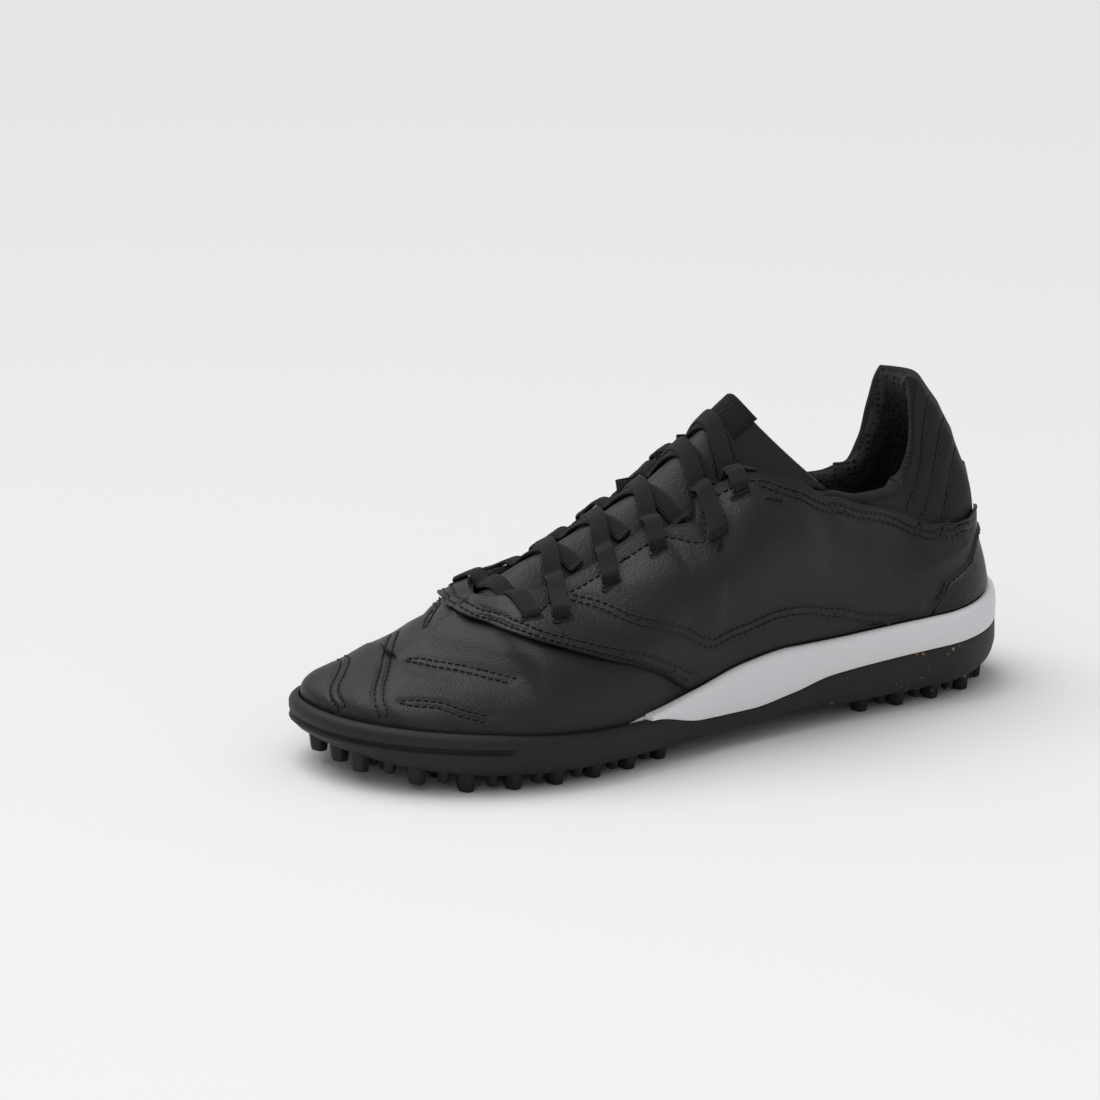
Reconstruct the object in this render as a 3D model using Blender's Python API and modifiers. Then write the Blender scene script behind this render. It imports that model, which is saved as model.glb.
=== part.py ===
"""Turf shoe, left foot, for a junior player: a leather-look upper on a two-part studded sole.

Metres, +Z up. The toe points to -X, the outer (lateral) side to -Y, and the floor is z = 0.
A share runs along the shoe from the back of the heel, 0, to the tip of the toe, 1.
"""

import math

import bmesh
import bpy
import numpy as np
from mathutils import Matrix, Vector

# Driving sizes of the shoe
LENGTH = 0.228
BALL_WIDTH = 0.088
SOLE_HEIGHT = 0.030
INSTEP_HEIGHT = 0.0775
COLLAR_HEIGHT = 0.096

# Walls, layers and clearances
WALL = 0.0020
COLLAR_PADDING = 0.0065
OVERLAY = 0.0010
GAP = 0.0003
OVERLAY_GAP = 0.0007
RIM_WIDTH = 0.0030
INSOLE_THICKNESS = 0.0032
TONGUE_THICKNESS = 0.0036

# The groove round the front of the outsole's side, and the bead above it
GROOVE_DEPTH = 0.0010
GROOVE_HEIGHT = 0.0009
BEAD_HEIGHT = 0.0044
GROOVE_START = 0.815

# Lace and eyelets
LACE_WIDTH = 0.0052
LACE_THICKNESS = 0.0012
LACE_LIFT = 0.0008
LACE_STEPS = 7
# A lace is stiff enough to bridge what lies this far before and behind each point
LACE_REACH = (-0.0030, 0.0, 0.0030)
LACE_START = 0.032
SLOT_LENGTH = 0.0062
SLOT_WIDTH = 0.0018
SLOT_DEPTH = 0.0120

STEPS = 28
ROWS = 9

# The throat ends in a half round at this share
THROAT_BASE = 0.778
THROAT_END = 0.035
# The edge of the eyestay steps back over these shares
NOTCH = [0.493, 0.513, 0.535, 0.556]


def table(names, rows):
    """Columns by name, each a numpy array, from rows chosen by hand."""
    values = np.array(rows, float)
    return {name: values[:, i] for i, name in enumerate(names.split())}


# Sole sections. half and centre are shares of BALL_WIDTH / 2, heights are shares of SOLE_HEIGHT.
# base: underside; plate: floor of the outsole's cup; side: top of the outsole's side;
# bed: floor of the midsole's cup; cuff: top of the midsole's side.
SOLE = table(
    "share half centre base plate side bed cuff",
    [
        (0.00, 0.680, 0.05, 0.30, 0.40, 0.63, 0.66, 0.97),
        (0.06, 0.710, 0.05, 0.20, 0.31, 0.59, 0.62, 0.91),
        (0.15, 0.745, 0.05, 0.16, 0.27, 0.57, 0.60, 0.88),
        (0.25, 0.750, 0.03, 0.16, 0.27, 0.55, 0.58, 0.87),
        (0.33, 0.735, 0.00, 0.17, 0.27, 0.51, 0.55, 0.86),
        (0.39, 0.725, -0.02, 0.18, 0.27, 0.41, 0.52, 0.86),
        (0.46, 0.740, -0.03, 0.17, 0.26, 0.34, 0.50, 0.80),
        (0.54, 0.800, -0.03, 0.16, 0.24, 0.36, 0.50, 0.66),
        (0.62, 0.880, -0.03, 0.15, 0.22, 0.49, 0.52, 0.55),
        (0.69, 0.945, -0.02, 0.15, 0.22, 0.50, 0.42, 0.50),
        (0.77, 0.990, 0.01, 0.15, 0.22, 0.53, 0.38, 0.53),
        (0.85, 1.010, 0.06, 0.17, 0.24, 0.58, 0.39, 0.58),
        (0.92, 1.030, 0.12, 0.22, 0.29, 0.62, 0.43, 0.62),
        (1.00, 1.060, 0.22, 0.32, 0.39, 0.66, 0.50, 0.66),
    ],
)
HEEL_ROUND, HEEL_POWER = 0.150, 2.15
TOE_ROUND, TOE_POWER = 0.330, 2.25
# The midsole's side runs out to nothing here, and its hidden part goes on inside the outsole's cup
MIDSOLE_TIP = 0.625
TIP_STEP = 0.0012

# Upper's top edge or ridge, by the edge point's own share: shares of INSTEP_HEIGHT and COLLAR_HEIGHT
TOPLINE = table(
    "share instep collar inner",
    [
        (0.000, 0.000, 0.990, 0.000),
        (0.132, 0.000, 0.990, 0.000),
        (0.141, 0.000, 0.955, 0.000),
        (0.148, 0.000, 0.865, 0.000),
        (0.154, 0.000, 0.765, 0.000),
        (0.168, 0.000, 0.700, 0.020),
        (0.200, 0.000, 0.676, 0.036),
        (0.255, 0.000, 0.686, 0.040),
        (0.312, 0.000, 0.722, 0.036),
        (0.350, 0.942, 0.000, 0.028),
        (0.395, 0.988, 0.000, 0.016),
        (0.430, 1.000, 0.000, 0.008),
        (0.460, 0.972, 0.000, 0.000),
        (0.493, 0.915, 0.000, 0.000),
        (0.513, 0.846, 0.000, 0.000),
        (0.535, 0.836, 0.000, 0.000),
        (0.556, 0.836, 0.000, 0.000),
        (0.580, 0.805, 0.000, 0.000),
        (0.640, 0.720, 0.000, 0.000),
        (0.690, 0.664, 0.000, 0.000),
        (0.740, 0.640, 0.000, 0.000),
        (0.778, 0.622, 0.000, 0.000),
        (0.800, 0.590, 0.000, 0.000),
        (0.850, 0.490, 0.000, 0.000),
        (0.900, 0.415, 0.000, 0.000),
        (0.930, 0.370, 0.000, 0.000),
    ],
)

# Upper's sections, from the feather line up to the top edge.
# open: half the opening, share of BALL_WIDTH / 2; reach: how far forward the edge lies, share of LENGTH;
# slope: the wall's angle at the edge; swell: its outward lean at the bottom;
# low, high: lengths of the curve's handles
LAST = table(
    "share open reach slope swell low high",
    [
        (0.00, 0.34, 0.126, 40, -8, 0.34, 0.34),
        (0.03, 0.34, 0.120, 44, -8, 0.34, 0.34),
        (0.06, 0.36, 0.100, 54, -6, 0.36, 0.35),
        (0.10, 0.38, 0.068, 66, -4, 0.38, 0.36),
        (0.14, 0.42, 0.038, 76, -2, 0.38, 0.36),
        (0.21, 0.50, 0.006, 82, 0, 0.40, 0.36),
        (0.26, 0.55, 0.000, 80, 1, 0.40, 0.38),
        (0.32, 0.57, 0.000, 74, 2, 0.42, 0.40),
        (0.36, 0.55, 0.000, 62, 2, 0.44, 0.42),
        (0.40, 0.49, 0.000, 48, 2, 0.46, 0.42),
        (0.43, 0.42, 0.000, 38, 2, 0.48, 0.42),
        (0.46, 0.37, 0.000, 32, 1, 0.50, 0.42),
        (0.493, 0.31, 0.000, 28, 1, 0.50, 0.42),
        (0.513, 0.42, 0.000, 32, 1, 0.50, 0.42),
        (0.535, 0.37, 0.000, 30, 1, 0.50, 0.42),
        (0.556, 0.28, 0.000, 26, 1, 0.50, 0.42),
        (0.58, 0.27, 0.000, 24, 2, 0.50, 0.42),
        (0.69, 0.26, 0.000, 20, 4, 0.48, 0.42),
        (0.76, 0.24, 0.000, 16, 5, 0.46, 0.38),
        (0.80, 0.00, 0.000, 14, 5, 0.46, 0.34),
        (0.85, 0.00, -0.016, 8, 5, 0.46, 0.38),
        (0.90, 0.00, -0.040, 3, 5, 0.48, 0.44),
        (0.95, 0.00, -0.072, 0, 5, 0.50, 0.48),
        (1.00, 0.00, -0.112, 0, 5, 0.52, 0.50),
    ],
)

# Tongue sections along its middle. height: share of COLLAR_HEIGHT; half, drop, sweep: shares of BALL_WIDTH / 2
TONGUE = table(
    "share height half drop sweep",
    [
        (0.835, 0.380, 0.28, 0.13, 0.00),
        (0.800, 0.434, 0.32, 0.14, 0.00),
        (0.772, 0.470, 0.38, 0.20, 0.00),
        (0.740, 0.532, 0.41, 0.32, 0.00),
        (0.715, 0.566, 0.42, 0.38, 0.00),
        (0.650, 0.622, 0.43, 0.42, 0.00),
        (0.580, 0.693, 0.43, 0.40, 0.00),
        (0.515, 0.770, 0.44, 0.42, 0.02),
        (0.455, 0.875, 0.42, 0.48, 0.14),
        (0.420, 0.940, 0.41, 0.56, 0.34),
        (0.393, 0.984, 0.40, 0.60, 0.50),
    ],
)
TONGUE_CURVE = 1.6

# Eyelets of one side, toe first, on the upper's face. The last one stays empty
EYELETS = table(
    "share rise",
    [(0.747, 0.85), (0.717, 0.79), (0.643, 0.86), (0.573, 0.87), (0.500, 0.75), (0.450, 0.91), (0.410, 0.86)],
)

# Edges of the saddle, the panel round the throat and both quarters, as rises on the upper's face
SADDLE = table(
    "share lower upper",
    [
        (0.010, 0.270, 0.330),
        (0.033, 0.270, 0.350),
        (0.077, 0.262, 0.570),
        (0.120, 0.235, 0.670),
        (0.157, 0.080, 0.760),
        (0.170, 0.030, 0.790),
        (0.243, 0.030, 0.915),
        (0.323, 0.030, 0.965),
        (0.400, 0.030, 0.985),
        (0.560, 0.030, 0.985),
        (0.587, 0.120, 0.985),
        (0.653, 0.330, 0.985),
        (0.703, 0.490, 0.985),
        (0.753, 0.650, 0.985),
        (0.778, 0.740, 1.000),
        (0.793, 0.830, 1.000),
        (0.806, 0.960, 1.000),
    ],
)

# Upper edge of the heel counter, and the strip up the back seam
COUNTER = table("share upper", [(0.000, 0.235), (0.033, 0.235), (0.077, 0.228), (0.120, 0.200), (0.157, 0.045)])
STRIP_SHARE = 0.003
STRIP_RISES = (0.350, 0.440, 0.530)

# Label folded over the tongue's top edge, as places on the tongue
LABEL_SHARES = (0.438, 0.420, 0.3945)
LABEL_ACROSS = (-0.39, -0.26, 0.0, 0.26, 0.39)
LABEL_LIFT = 0.0010
LABEL_THICKNESS = 0.0011

# Lugs under the sole, row by row from heel to toe: count across, and how much of the width they span
LUGS = table(
    "share count span",
    [
        (0.048, 3, 0.58),
        (0.095, 4, 0.74),
        (0.150, 4, 0.76),
        (0.205, 4, 0.76),
        (0.260, 3, 0.72),
        (0.590, 4, 0.76),
        (0.645, 5, 0.80),
        (0.700, 5, 0.81),
        (0.755, 5, 0.82),
        (0.810, 5, 0.82),
        (0.865, 5, 0.80),
        (0.915, 4, 0.74),
        (0.958, 3, 0.46),
    ],
)
LUG_LENGTH = 0.0086
LUG_WIDTH = 0.0062
LUG_HEIGHT = 0.0046
LUG_TAPER = 0.74
LUG_ROOT = 0.0016
FLAT_UNTIL = 0.88


def smooth(columns, name, share):
    """Monotone cubic through a table's column, so that a curve never overshoots its rows."""
    x, y = columns["share"], columns[name]
    if x[0] > x[-1]:
        x, y = x[::-1], y[::-1]
    step = np.diff(x)
    rise = np.diff(y) / step
    grade = np.zeros(len(x))
    same = rise[:-1] * rise[1:] > 0
    near, far = 2 * step[1:] + step[:-1], step[1:] + 2 * step[:-1]
    inner = np.zeros(len(x) - 2)
    inner[same] = (near + far)[same] / (near[same] / rise[:-1][same] + far[same] / rise[1:][same])
    grade[1:-1] = inner
    grade[0], grade[-1] = rise[0], rise[-1]
    share = np.clip(share, x[0], x[-1])
    i = np.clip(np.searchsorted(x, share, side="right") - 1, 0, len(step) - 1)
    h, t = step[i], (share - x[i]) / step[i]
    return (
        y[i] * (1 + 2 * t) * (1 - t) ** 2
        + y[i + 1] * t * t * (3 - 2 * t)
        + grade[i] * h * t * (1 - t) ** 2
        + grade[i + 1] * h * t * t * (t - 1)
    )


def along(share):
    """X of a share of the length."""
    return LENGTH * (0.5 - share)


def end_rounding(share):
    """1 along the shoe, falling to 0 round the heel and the toe."""
    heel = max(0.0, 1 - share / HEEL_ROUND)
    toe = max(0.0, 1 - (1 - share) / TOE_ROUND)
    return (1 - heel**HEEL_POWER) ** (1 / HEEL_POWER) * (1 - toe**TOE_POWER) ** (1 / TOE_POWER)


def middle(share):
    """Y of the middle line, which swings to the inner side towards the big toe."""
    return smooth(SOLE, "centre", share) * BALL_WIDTH / 2


def half_width(share):
    return smooth(SOLE, "half", share) * BALL_WIDTH / 2 * end_rounding(share)


def edge_point(share, side, inset):
    """Plan point of the sole's outline moved in by inset, and the outline's outward direction there.

    side is -1 on the outer and +1 on the inner side of the foot.
    """
    step = 1e-4
    low, high = max(share - step, 0.0), min(share + step, 1.0)
    if share <= step:
        outward = Vector((1.0, 0.0))
    elif share >= 1 - step:
        outward = Vector((-1.0, 0.0))
    else:
        a = Vector((along(low), middle(low) + side * half_width(low)))
        b = Vector((along(high), middle(high) + side * half_width(high)))
        run = (b - a).normalized()
        outward = Vector((-run.y, run.x))
        if outward.y * side < 0:
            outward.negate()
    point = Vector((along(share), middle(share) + side * half_width(share)))
    return point - outward * inset, outward


def sole_height(name, share):
    return smooth(SOLE, name, share) * SOLE_HEIGHT


def top_height(share, side=0):
    """Height of the upper's top edge, or of its ridge in front of the throat."""
    instep = smooth(TOPLINE, "instep", share) * INSTEP_HEIGHT
    collar = smooth(TOPLINE, "collar", share) - max(0, side) * smooth(TOPLINE, "inner", share)
    return instep + collar * COLLAR_HEIGHT


def opening(share):
    """Half the width of the opening between the top edges, 0 in front of the throat."""
    width = smooth(LAST, "open", share) * BALL_WIDTH / 2
    if share < HEEL_ROUND:
        return width * (1 - (1 - share / HEEL_ROUND) ** HEEL_POWER) ** (1 / HEEL_POWER)
    if share >= THROAT_BASE:
        return 0.0
    end = max(0.0, 1 - (THROAT_BASE - share) / THROAT_END)
    return width * math.sqrt(1 - end * end)


def upper_point(share, side, rise):
    """Point of the upper's outer face; rise goes from 0 at the feather line to 1 at the top edge."""
    foot, outward = edge_point(share, side, RIM_WIDTH + GAP)
    start = Vector((foot.x, foot.y, sole_height("cuff", share)))
    own = share + smooth(LAST, "reach", share)
    end = Vector((along(own), middle(own) + side * opening(share), top_height(own, side)))
    slope = math.radians(smooth(LAST, "slope", share))
    if share > THROAT_BASE:
        step = 0.01
        grade = (top_height(own - step) - top_height(own + step)) / (2 * step * LENGTH)
        slope += math.atan(max(0.0, -outward.x) * grade)
    swell = math.radians(smooth(LAST, "swell", share))
    low, high = smooth(LAST, "low", share), smooth(LAST, "high", share)
    out = Vector((outward.x, outward.y, 0.0))
    up = Vector((0.0, 0.0, 1.0))
    plan = max((end - start).xy.length, (end.z - start.z) / math.tan(max(slope, 0.2)) * 0.5)
    first = start + (out * math.sin(swell) + up * math.cos(swell)) * low * (end.z - start.z)
    reach = high * (plan * math.cos(slope) + (end.z - start.z) * math.sin(slope))
    second = end + (out * math.cos(slope) - up * math.sin(slope)) * reach
    t = rise
    return start * (1 - t) ** 3 + first * 3 * t * (1 - t) ** 2 + second * 3 * t * t * (1 - t) + end * t**3


def upper_normal(share, side, rise):
    """Outward normal of the upper's outer face."""
    step = 0.004
    a, b = max(share - step, 0.0), min(share + step, 1.0)
    c, d = max(rise - step, 0.0), min(rise + step, 1.0)
    along_shoe = upper_point(b, side, rise) - upper_point(a, side, rise)
    up_wall = upper_point(share, side, d) - upper_point(share, side, c)
    normal = along_shoe.cross(up_wall).normalized()
    return normal if side > 0 else -normal


def stations():
    """Shares of the sections: close together at the heel and toe, with some at the end of the throat."""
    even = [(1 - math.cos(math.pi * i / STEPS)) / 2 for i in range(STEPS + 1)]
    throat = [THROAT_BASE, THROAT_BASE - 0.05 * THROAT_END, THROAT_BASE - 0.35 * THROAT_END]
    tip = [MIDSOLE_TIP, MIDSOLE_TIP + TIP_STEP, MIDSOLE_TIP + 2 * TIP_STEP]
    added = throat + tip + NOTCH
    clear = 0.3 / STEPS
    return sorted([s for s in even if all(abs(s - t) > clear for t in added)] + added)


def mesh_object(name, points, faces, material):
    mesh = bpy.data.meshes.new(name)
    mesh.from_pydata([tuple(p) for p in points], [], faces)
    mesh.materials.append(material)
    found = bpy.data.objects.new(name, mesh)
    SHOE.objects.link(found)
    cleaned = bmesh.new()
    cleaned.from_mesh(mesh)
    bmesh.ops.remove_doubles(cleaned, verts=cleaned.verts, dist=1e-6)
    bmesh.ops.dissolve_degenerate(cleaned, edges=cleaned.edges, dist=1e-6)
    bmesh.ops.recalc_face_normals(cleaned, faces=cleaned.faces)
    cleaned.to_mesh(mesh)
    cleaned.free()
    return found


def finish(found, angle=40):
    """Smooth shading that keeps the edges sharper than the angle."""
    found.data.shade_smooth()
    found.data.set_sharp_from_angle(angle=math.radians(angle))
    return found


def grid_faces(columns, rows, closed=False):
    """Quads between columns of points, each column holding rows points."""
    last = columns if closed else columns - 1
    return [
        (c * rows + r, ((c + 1) % columns) * rows + r, ((c + 1) % columns) * rows + r + 1, c * rows + r + 1)
        for c in range(last)
        for r in range(rows - 1)
    ]


def ring_solid(name, rings, material):
    """Solid through closed rings, each a list of outer-side points and one of inner-side points.

    The first and the last ring are closed by a ladder of faces between their two sides.
    """
    count = len(rings[0][0])
    points = [p for outer, inner in rings for p in outer + inner[::-1]]
    size = 2 * count
    faces = []
    for r in range(len(rings) - 1):
        for i in range(size):
            j = (i + 1) % size
            faces.append((r * size + i, r * size + j, (r + 1) * size + j, (r + 1) * size + i))
    for base in (0, (len(rings) - 1) * size):
        for i in range(count - 1):
            faces.append((base + i, base + i + 1, base + size - 2 - i, base + size - 1 - i))
    return mesh_object(name, points, faces, material)


def ring(shares, inset, height):
    """One ring of a sole solid: inset and height are functions of the share.

    Round the heel and the toe a point's height follows the share that it lies at after the inset.
    """
    sides = []
    for side in (-1, 1):
        made = []
        for share in shares:
            point, _ = edge_point(share, side, inset(share))
            rounded = share < HEEL_ROUND or share > 1 - TOE_ROUND
            own = 0.5 - point.x / LENGTH if rounded else share
            made.append(Vector((point.x, point.y, height(own))))
        sides.append(made)
    return sides


def constant(value):
    return lambda share: value


def level(name, lift=0.0):
    return lambda share: sole_height(name, share) + lift


def in_front(share):
    """1 where the outsole's own rim holds the upper, 0 where the midsole's cuff does."""
    return 1.0 if share > MIDSOLE_TIP else 0.0


def groove(share):
    """Depth of the groove under the bead, which stops bluntly on both sides of the foot."""
    return GROOVE_DEPTH * min(1.0, max(0.0, (share - GROOVE_START) / 0.012))


BED_REACH = 0.012


def make_outsole(shares, material):
    inner = RIM_WIDTH
    groove_top = lambda share: sole_height("side", share) - BEAD_HEIGHT * (sole_height("side", share) / 0.019)
    tuck = lambda share: 0.0016 + 0.0022 * max(0.0, (share - 0.86) / 0.14) ** 2
    body = ring_solid(
        "outsole",
        [
            ring(shares, constant(BED_REACH), level("base")),
            ring(shares, lambda s: 3.0 * tuck(s), level("base")),
            ring(shares, lambda s: 1.2 * tuck(s), level("base", 0.0008)),
            ring(shares, lambda s: 0.35 * tuck(s), level("base", 0.0028)),
            ring(shares, constant(0.0), lambda s: groove_top(s) - 1.6 * GROOVE_HEIGHT),
            ring(shares, groove, lambda s: groove_top(s) - GROOVE_HEIGHT),
            ring(shares, groove, lambda s: groove_top(s)),
            ring(shares, constant(0.0), lambda s: groove_top(s) + 0.6 * GROOVE_HEIGHT),
            ring(shares, lambda s: 0.0002 + 0.0010 * in_front(s), level("side", -0.0006)),
            ring(shares, lambda s: 0.0002 + 0.0018 * in_front(s), level("side")),
            ring(shares, constant(inner), level("side")),
            ring(shares, constant(inner), level("plate")),
            ring(shares, constant(BED_REACH), level("plate")),
        ],
        material,
    )
    return finish(body, 30)


def make_midsole(shares, material):
    """White foam: it stands in the outsole's cup, and behind its tip it also covers the rim."""
    inner = RIM_WIDTH + GAP
    covers = lambda s: s < MIDSOLE_TIP + 0.5 * TIP_STEP
    stands = lambda s: s < MIDSOLE_TIP + 1.5 * TIP_STEP
    side = lambda value: lambda s: value if covers(s) else RIM_WIDTH if stands(s) else inner
    bed = lambda s: sole_height("bed", s)
    low = lambda s: sole_height("side", s) + GAP if stands(s) else bed(s)
    cuff = lambda k: lambda s: low(s) + k * (sole_height("cuff", s) - low(s)) if covers(s) else bed(s)
    return finish(
        ring_solid(
            "midsole",
            [
                ring(shares, constant(BED_REACH), level("plate", GAP)),
                ring(shares, constant(inner), level("plate", GAP)),
                ring(shares, constant(inner), low),
                ring(shares, side(0.0003), low),
                ring(shares, side(0.0), cuff(0.30)),
                ring(shares, side(0.0), cuff(0.72)),
                ring(shares, side(0.0006), cuff(0.93)),
                ring(shares, side(0.0015), cuff(1.0)),
                ring(shares, side(RIM_WIDTH), cuff(1.0)),
                ring(shares, side(RIM_WIDTH), bed),
                ring(shares, constant(BED_REACH), bed),
            ],
            material,
        ),
        30,
    )


def make_insole(shares, material):
    """Flat footbed inside the upper's wall."""
    inset = RIM_WIDTH + WALL + 4 * GAP
    low, high = level("bed", GAP), level("bed", GAP + INSOLE_THICKNESS)
    return finish(
        ring_solid(
            "insole",
            [
                ring(shares, constant(BED_REACH + 0.002), low),
                ring(shares, constant(inset), low),
                ring(shares, constant(inset), lambda s: high(s) - 0.0008),
                ring(shares, constant(inset + 0.0008), high),
                ring(shares, constant(BED_REACH + 0.002), high),
            ],
            material,
        ),
        30,
    )


def make_upper(shares, material):
    """The open outer face, through all sections of both sides, given its wall by Solidify."""
    points, thickness = [], []
    for side in (-1, 1):
        for share in shares:
            foot, _ = edge_point(share, side, RIM_WIDTH + GAP)
            points.append(Vector((foot.x, foot.y, sole_height("bed", share) + GAP)))
            thickness.append(0.0)
            for r in range(ROWS):
                rise = r / (ROWS - 1)
                points.append(upper_point(share, side, rise))
                thickness.append(collar_share(share, rise))
    rows = ROWS + 1
    half = len(shares) * rows
    faces = grid_faces(len(shares), rows)
    faces += [tuple(i + half for i in reversed(face)) for face in faces]
    found = mesh_object("upper", points, faces, material)
    group = found.vertex_groups.new(name="padding")
    spots = {tuple(round(c, 6) for c in p): t for p, t in zip(points, thickness)}
    base = WALL / (WALL + COLLAR_PADDING)
    for vertex in found.data.vertices:
        extra = spots.get(tuple(round(c, 6) for c in vertex.co), 0.0)
        group.add([vertex.index], base + (1 - base) * extra, "REPLACE")
    wall = found.modifiers.new("wall", "SOLIDIFY")
    wall.thickness = WALL + COLLAR_PADDING
    wall.offset = -1
    wall.vertex_group = "padding"
    wall.use_rim = True
    return finish(found, 50)


def collar_share(share, rise):
    """How far the padding fills the wall: full at the heel tab and the ankle, none at the throat."""
    lengthwise = smooth(PADDING, "full", share)
    low = smooth(PADDING, "low", share)
    up = min(1.0, max(0.0, (rise - low) / (0.80 - low)))
    return lengthwise * up * up * (3 - 2 * up)


PADDING = table(
    "share full low",
    [
        (0.00, 0.75, 0.45),
        (0.08, 0.70, 0.45),
        (0.16, 0.62, 0.40),
        (0.26, 0.55, 0.45),
        (0.36, 0.30, 0.50),
        (0.43, 0.00, 0.55),
        (1.00, 0.00, 0.55),
    ],
)


def skin(share, side, rise, lift):
    """Point at a distance outside the upper's outer face."""
    normal = upper_normal(share, side, rise)
    on_ridge = rise >= 1 and share >= THROAT_BASE
    if share <= 0 or on_ridge:
        normal = (upper_normal(share, -1, rise) + upper_normal(share, 1, rise)).normalized()
        return upper_point(share, -1, rise) + normal * lift
    return upper_point(share, side, rise) + normal * lift


def make_panel(name, columns, rows, material):
    """Panel that lies on the upper. columns lists (share, side, lowest rise, highest rise)."""
    points = []
    for lift in (OVERLAY_GAP, OVERLAY_GAP + OVERLAY):
        for share, side, low, high in columns:
            points += [skin(share, side, low + (high - low) * r / (rows - 1), lift) for r in range(rows)]
    count = len(columns)
    under = grid_faces(count, rows)
    top = [tuple(i + count * rows for i in reversed(face)) for face in under]
    border = list(range(rows))
    border += [c * rows + rows - 1 for c in range(1, count)]
    border += [(count - 1) * rows + r for r in range(rows - 2, -1, -1)]
    border += [c * rows for c in range(count - 2, 0, -1)]
    joined = {c * rows + rows - 1 for c in range(count) if columns[c][0] >= THROAT_BASE and columns[c][3] >= 1}
    walls = []
    for i, j in zip(border, border[1:] + border[:1]):
        if not (i in joined and j in joined):
            walls.append((i, j, j + count * rows, i + count * rows))
    return finish(mesh_object(name, points, under + top + walls, material), 35)


def inside(shares, low, high):
    return [low] + [s for s in shares if low + 0.002 < s < high - 0.002] + [high]


def make_saddle(shares, material):
    """One panel down the outer side, round the front of the throat and back along the inner side."""
    used = inside(shares, SADDLE["share"][0], SADDLE["share"][-1])
    columns = []
    for side, order in ((-1, used), (1, used[::-1])):
        for share in order:
            columns.append((share, side, smooth(SADDLE, "lower", share), smooth(SADDLE, "upper", share)))
    return make_panel("saddle", columns, 9, material)


def make_counter(shares, material):
    used = inside(shares, 0.0, COUNTER["share"][-1])
    columns = [(s, -1, 0.03, smooth(COUNTER, "upper", s)) for s in used[::-1]]
    columns += [(s, 1, 0.03, smooth(COUNTER, "upper", s)) for s in used[1:]]
    return make_panel("heel_counter", columns, 5, material)


def make_back_strip(material):
    places = ((STRIP_SHARE, -1), (0.0, -1), (STRIP_SHARE, 1))
    columns = [(share, side, STRIP_RISES[0], STRIP_RISES[-1]) for share, side in places]
    return make_panel("back_strip", columns, len(STRIP_RISES), material)


def tongue_point(share, across, lift=0.0):
    """Point above the tongue's top face. across goes from -1, its outer edge, to 1, its inner edge."""
    half = smooth(TONGUE, "half", share) * BALL_WIDTH / 2
    drop = smooth(TONGUE, "drop", share) * BALL_WIDTH / 2
    sweep = smooth(TONGUE, "sweep", share) * BALL_WIDTH / 2
    height = smooth(TONGUE, "height", share) * COLLAR_HEIGHT
    x = along(share) + sweep * across * across
    y = middle(share) + half * across
    return Vector((x, y, height - drop * abs(across) ** TONGUE_CURVE + lift))


def make_tongue(material):
    rows = sorted(TONGUE["share"])
    across = [-1.0, -0.78, -0.52, -0.26, 0.0, 0.26, 0.52, 0.78, 1.0]
    points = [tongue_point(share, u) for share in rows for u in across]
    found = mesh_object("tongue", points, grid_faces(len(rows), len(across)), material)
    face_up(found)
    wall = found.modifiers.new("padding", "SOLIDIFY")
    wall.thickness = TONGUE_THICKNESS
    wall.offset = -1
    wall.use_even_offset = True
    return finish(found, 40)


def face_up(found):
    """Turn an open surface so that its faces point up."""
    if sum(p.normal.z for p in found.data.polygons) < 0:
        found.data.flip_normals()


def make_label(material):
    """Folded textile label on the tongue's top face."""
    points = [tongue_point(share, u, LABEL_LIFT) for share in LABEL_SHARES for u in LABEL_ACROSS]
    found = mesh_object("tongue_label", points, grid_faces(len(LABEL_SHARES), len(LABEL_ACROSS)), material)
    face_up(found)
    wall = found.modifiers.new("cloth", "SOLIDIFY")
    wall.thickness = LABEL_THICKNESS
    wall.offset = 1
    return finish(found, 40)


def panel_height(x, y):
    """Height of the saddle's outer face over a plan point beside the throat, None over the throat."""
    share = 0.5 - x / LENGTH
    side = 1 if y > middle(share) else -1
    if abs(y - middle(share)) < opening(share):
        return None
    low, high = 0.5, 1.0
    for _ in range(18):
        rise = (low + high) / 2
        if abs(upper_point(share, side, rise).y - middle(share)) > abs(y - middle(share)):
            low = rise
        else:
            high = rise
    return upper_point(share, side, low).z + (OVERLAY_GAP + OVERLAY) * 1.25


def tongue_height(x, y):
    share = 0.5 - x / LENGTH
    half = smooth(TONGUE, "half", share) * BALL_WIDTH / 2
    return tongue_point(share, max(-1.0, min(1.0, (y - middle(share)) / half))).z


def lace_bed(x, y):
    """Height that a lace rests on: the tongue over the throat, and the saddle beside it."""
    panel = panel_height(x, y)
    tongue = tongue_height(x, y)
    return tongue if panel is None else max(panel, tongue)


def make_lace_strap(name, start, end, material, lift=LACE_LIFT):
    """Flat lace from a plan point to another, draped over tongue and saddle."""
    run = (end - start).normalized()
    left = Vector((-run.y, run.x)) * LACE_WIDTH / 2
    points = []
    for i in range(LACE_STEPS + 1):
        centre = start.lerp(end, i / LACE_STEPS)
        for spot in (centre + left, centre - left):
            height = max(lace_bed(*(spot + run * reach)) for reach in LACE_REACH)
            points.append(Vector((spot.x, spot.y, height + lift)))
    found = mesh_object(name, points, grid_faces(LACE_STEPS + 1, 2), material)
    face_up(found)
    wall = found.modifiers.new("weave", "SOLIDIFY")
    wall.thickness = LACE_THICKNESS
    wall.offset = 1
    return finish(found, 40)


def plan(share, side, rise):
    return upper_point(share, side, rise).xy


def under_edge(index, side):
    """Plan point where a lace comes out from under the eyestay behind an eyelet."""
    share = EYELETS["share"][index] - LACE_START
    return Vector((along(share), middle(share) + side * (opening(share) - 0.0026)))


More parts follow.
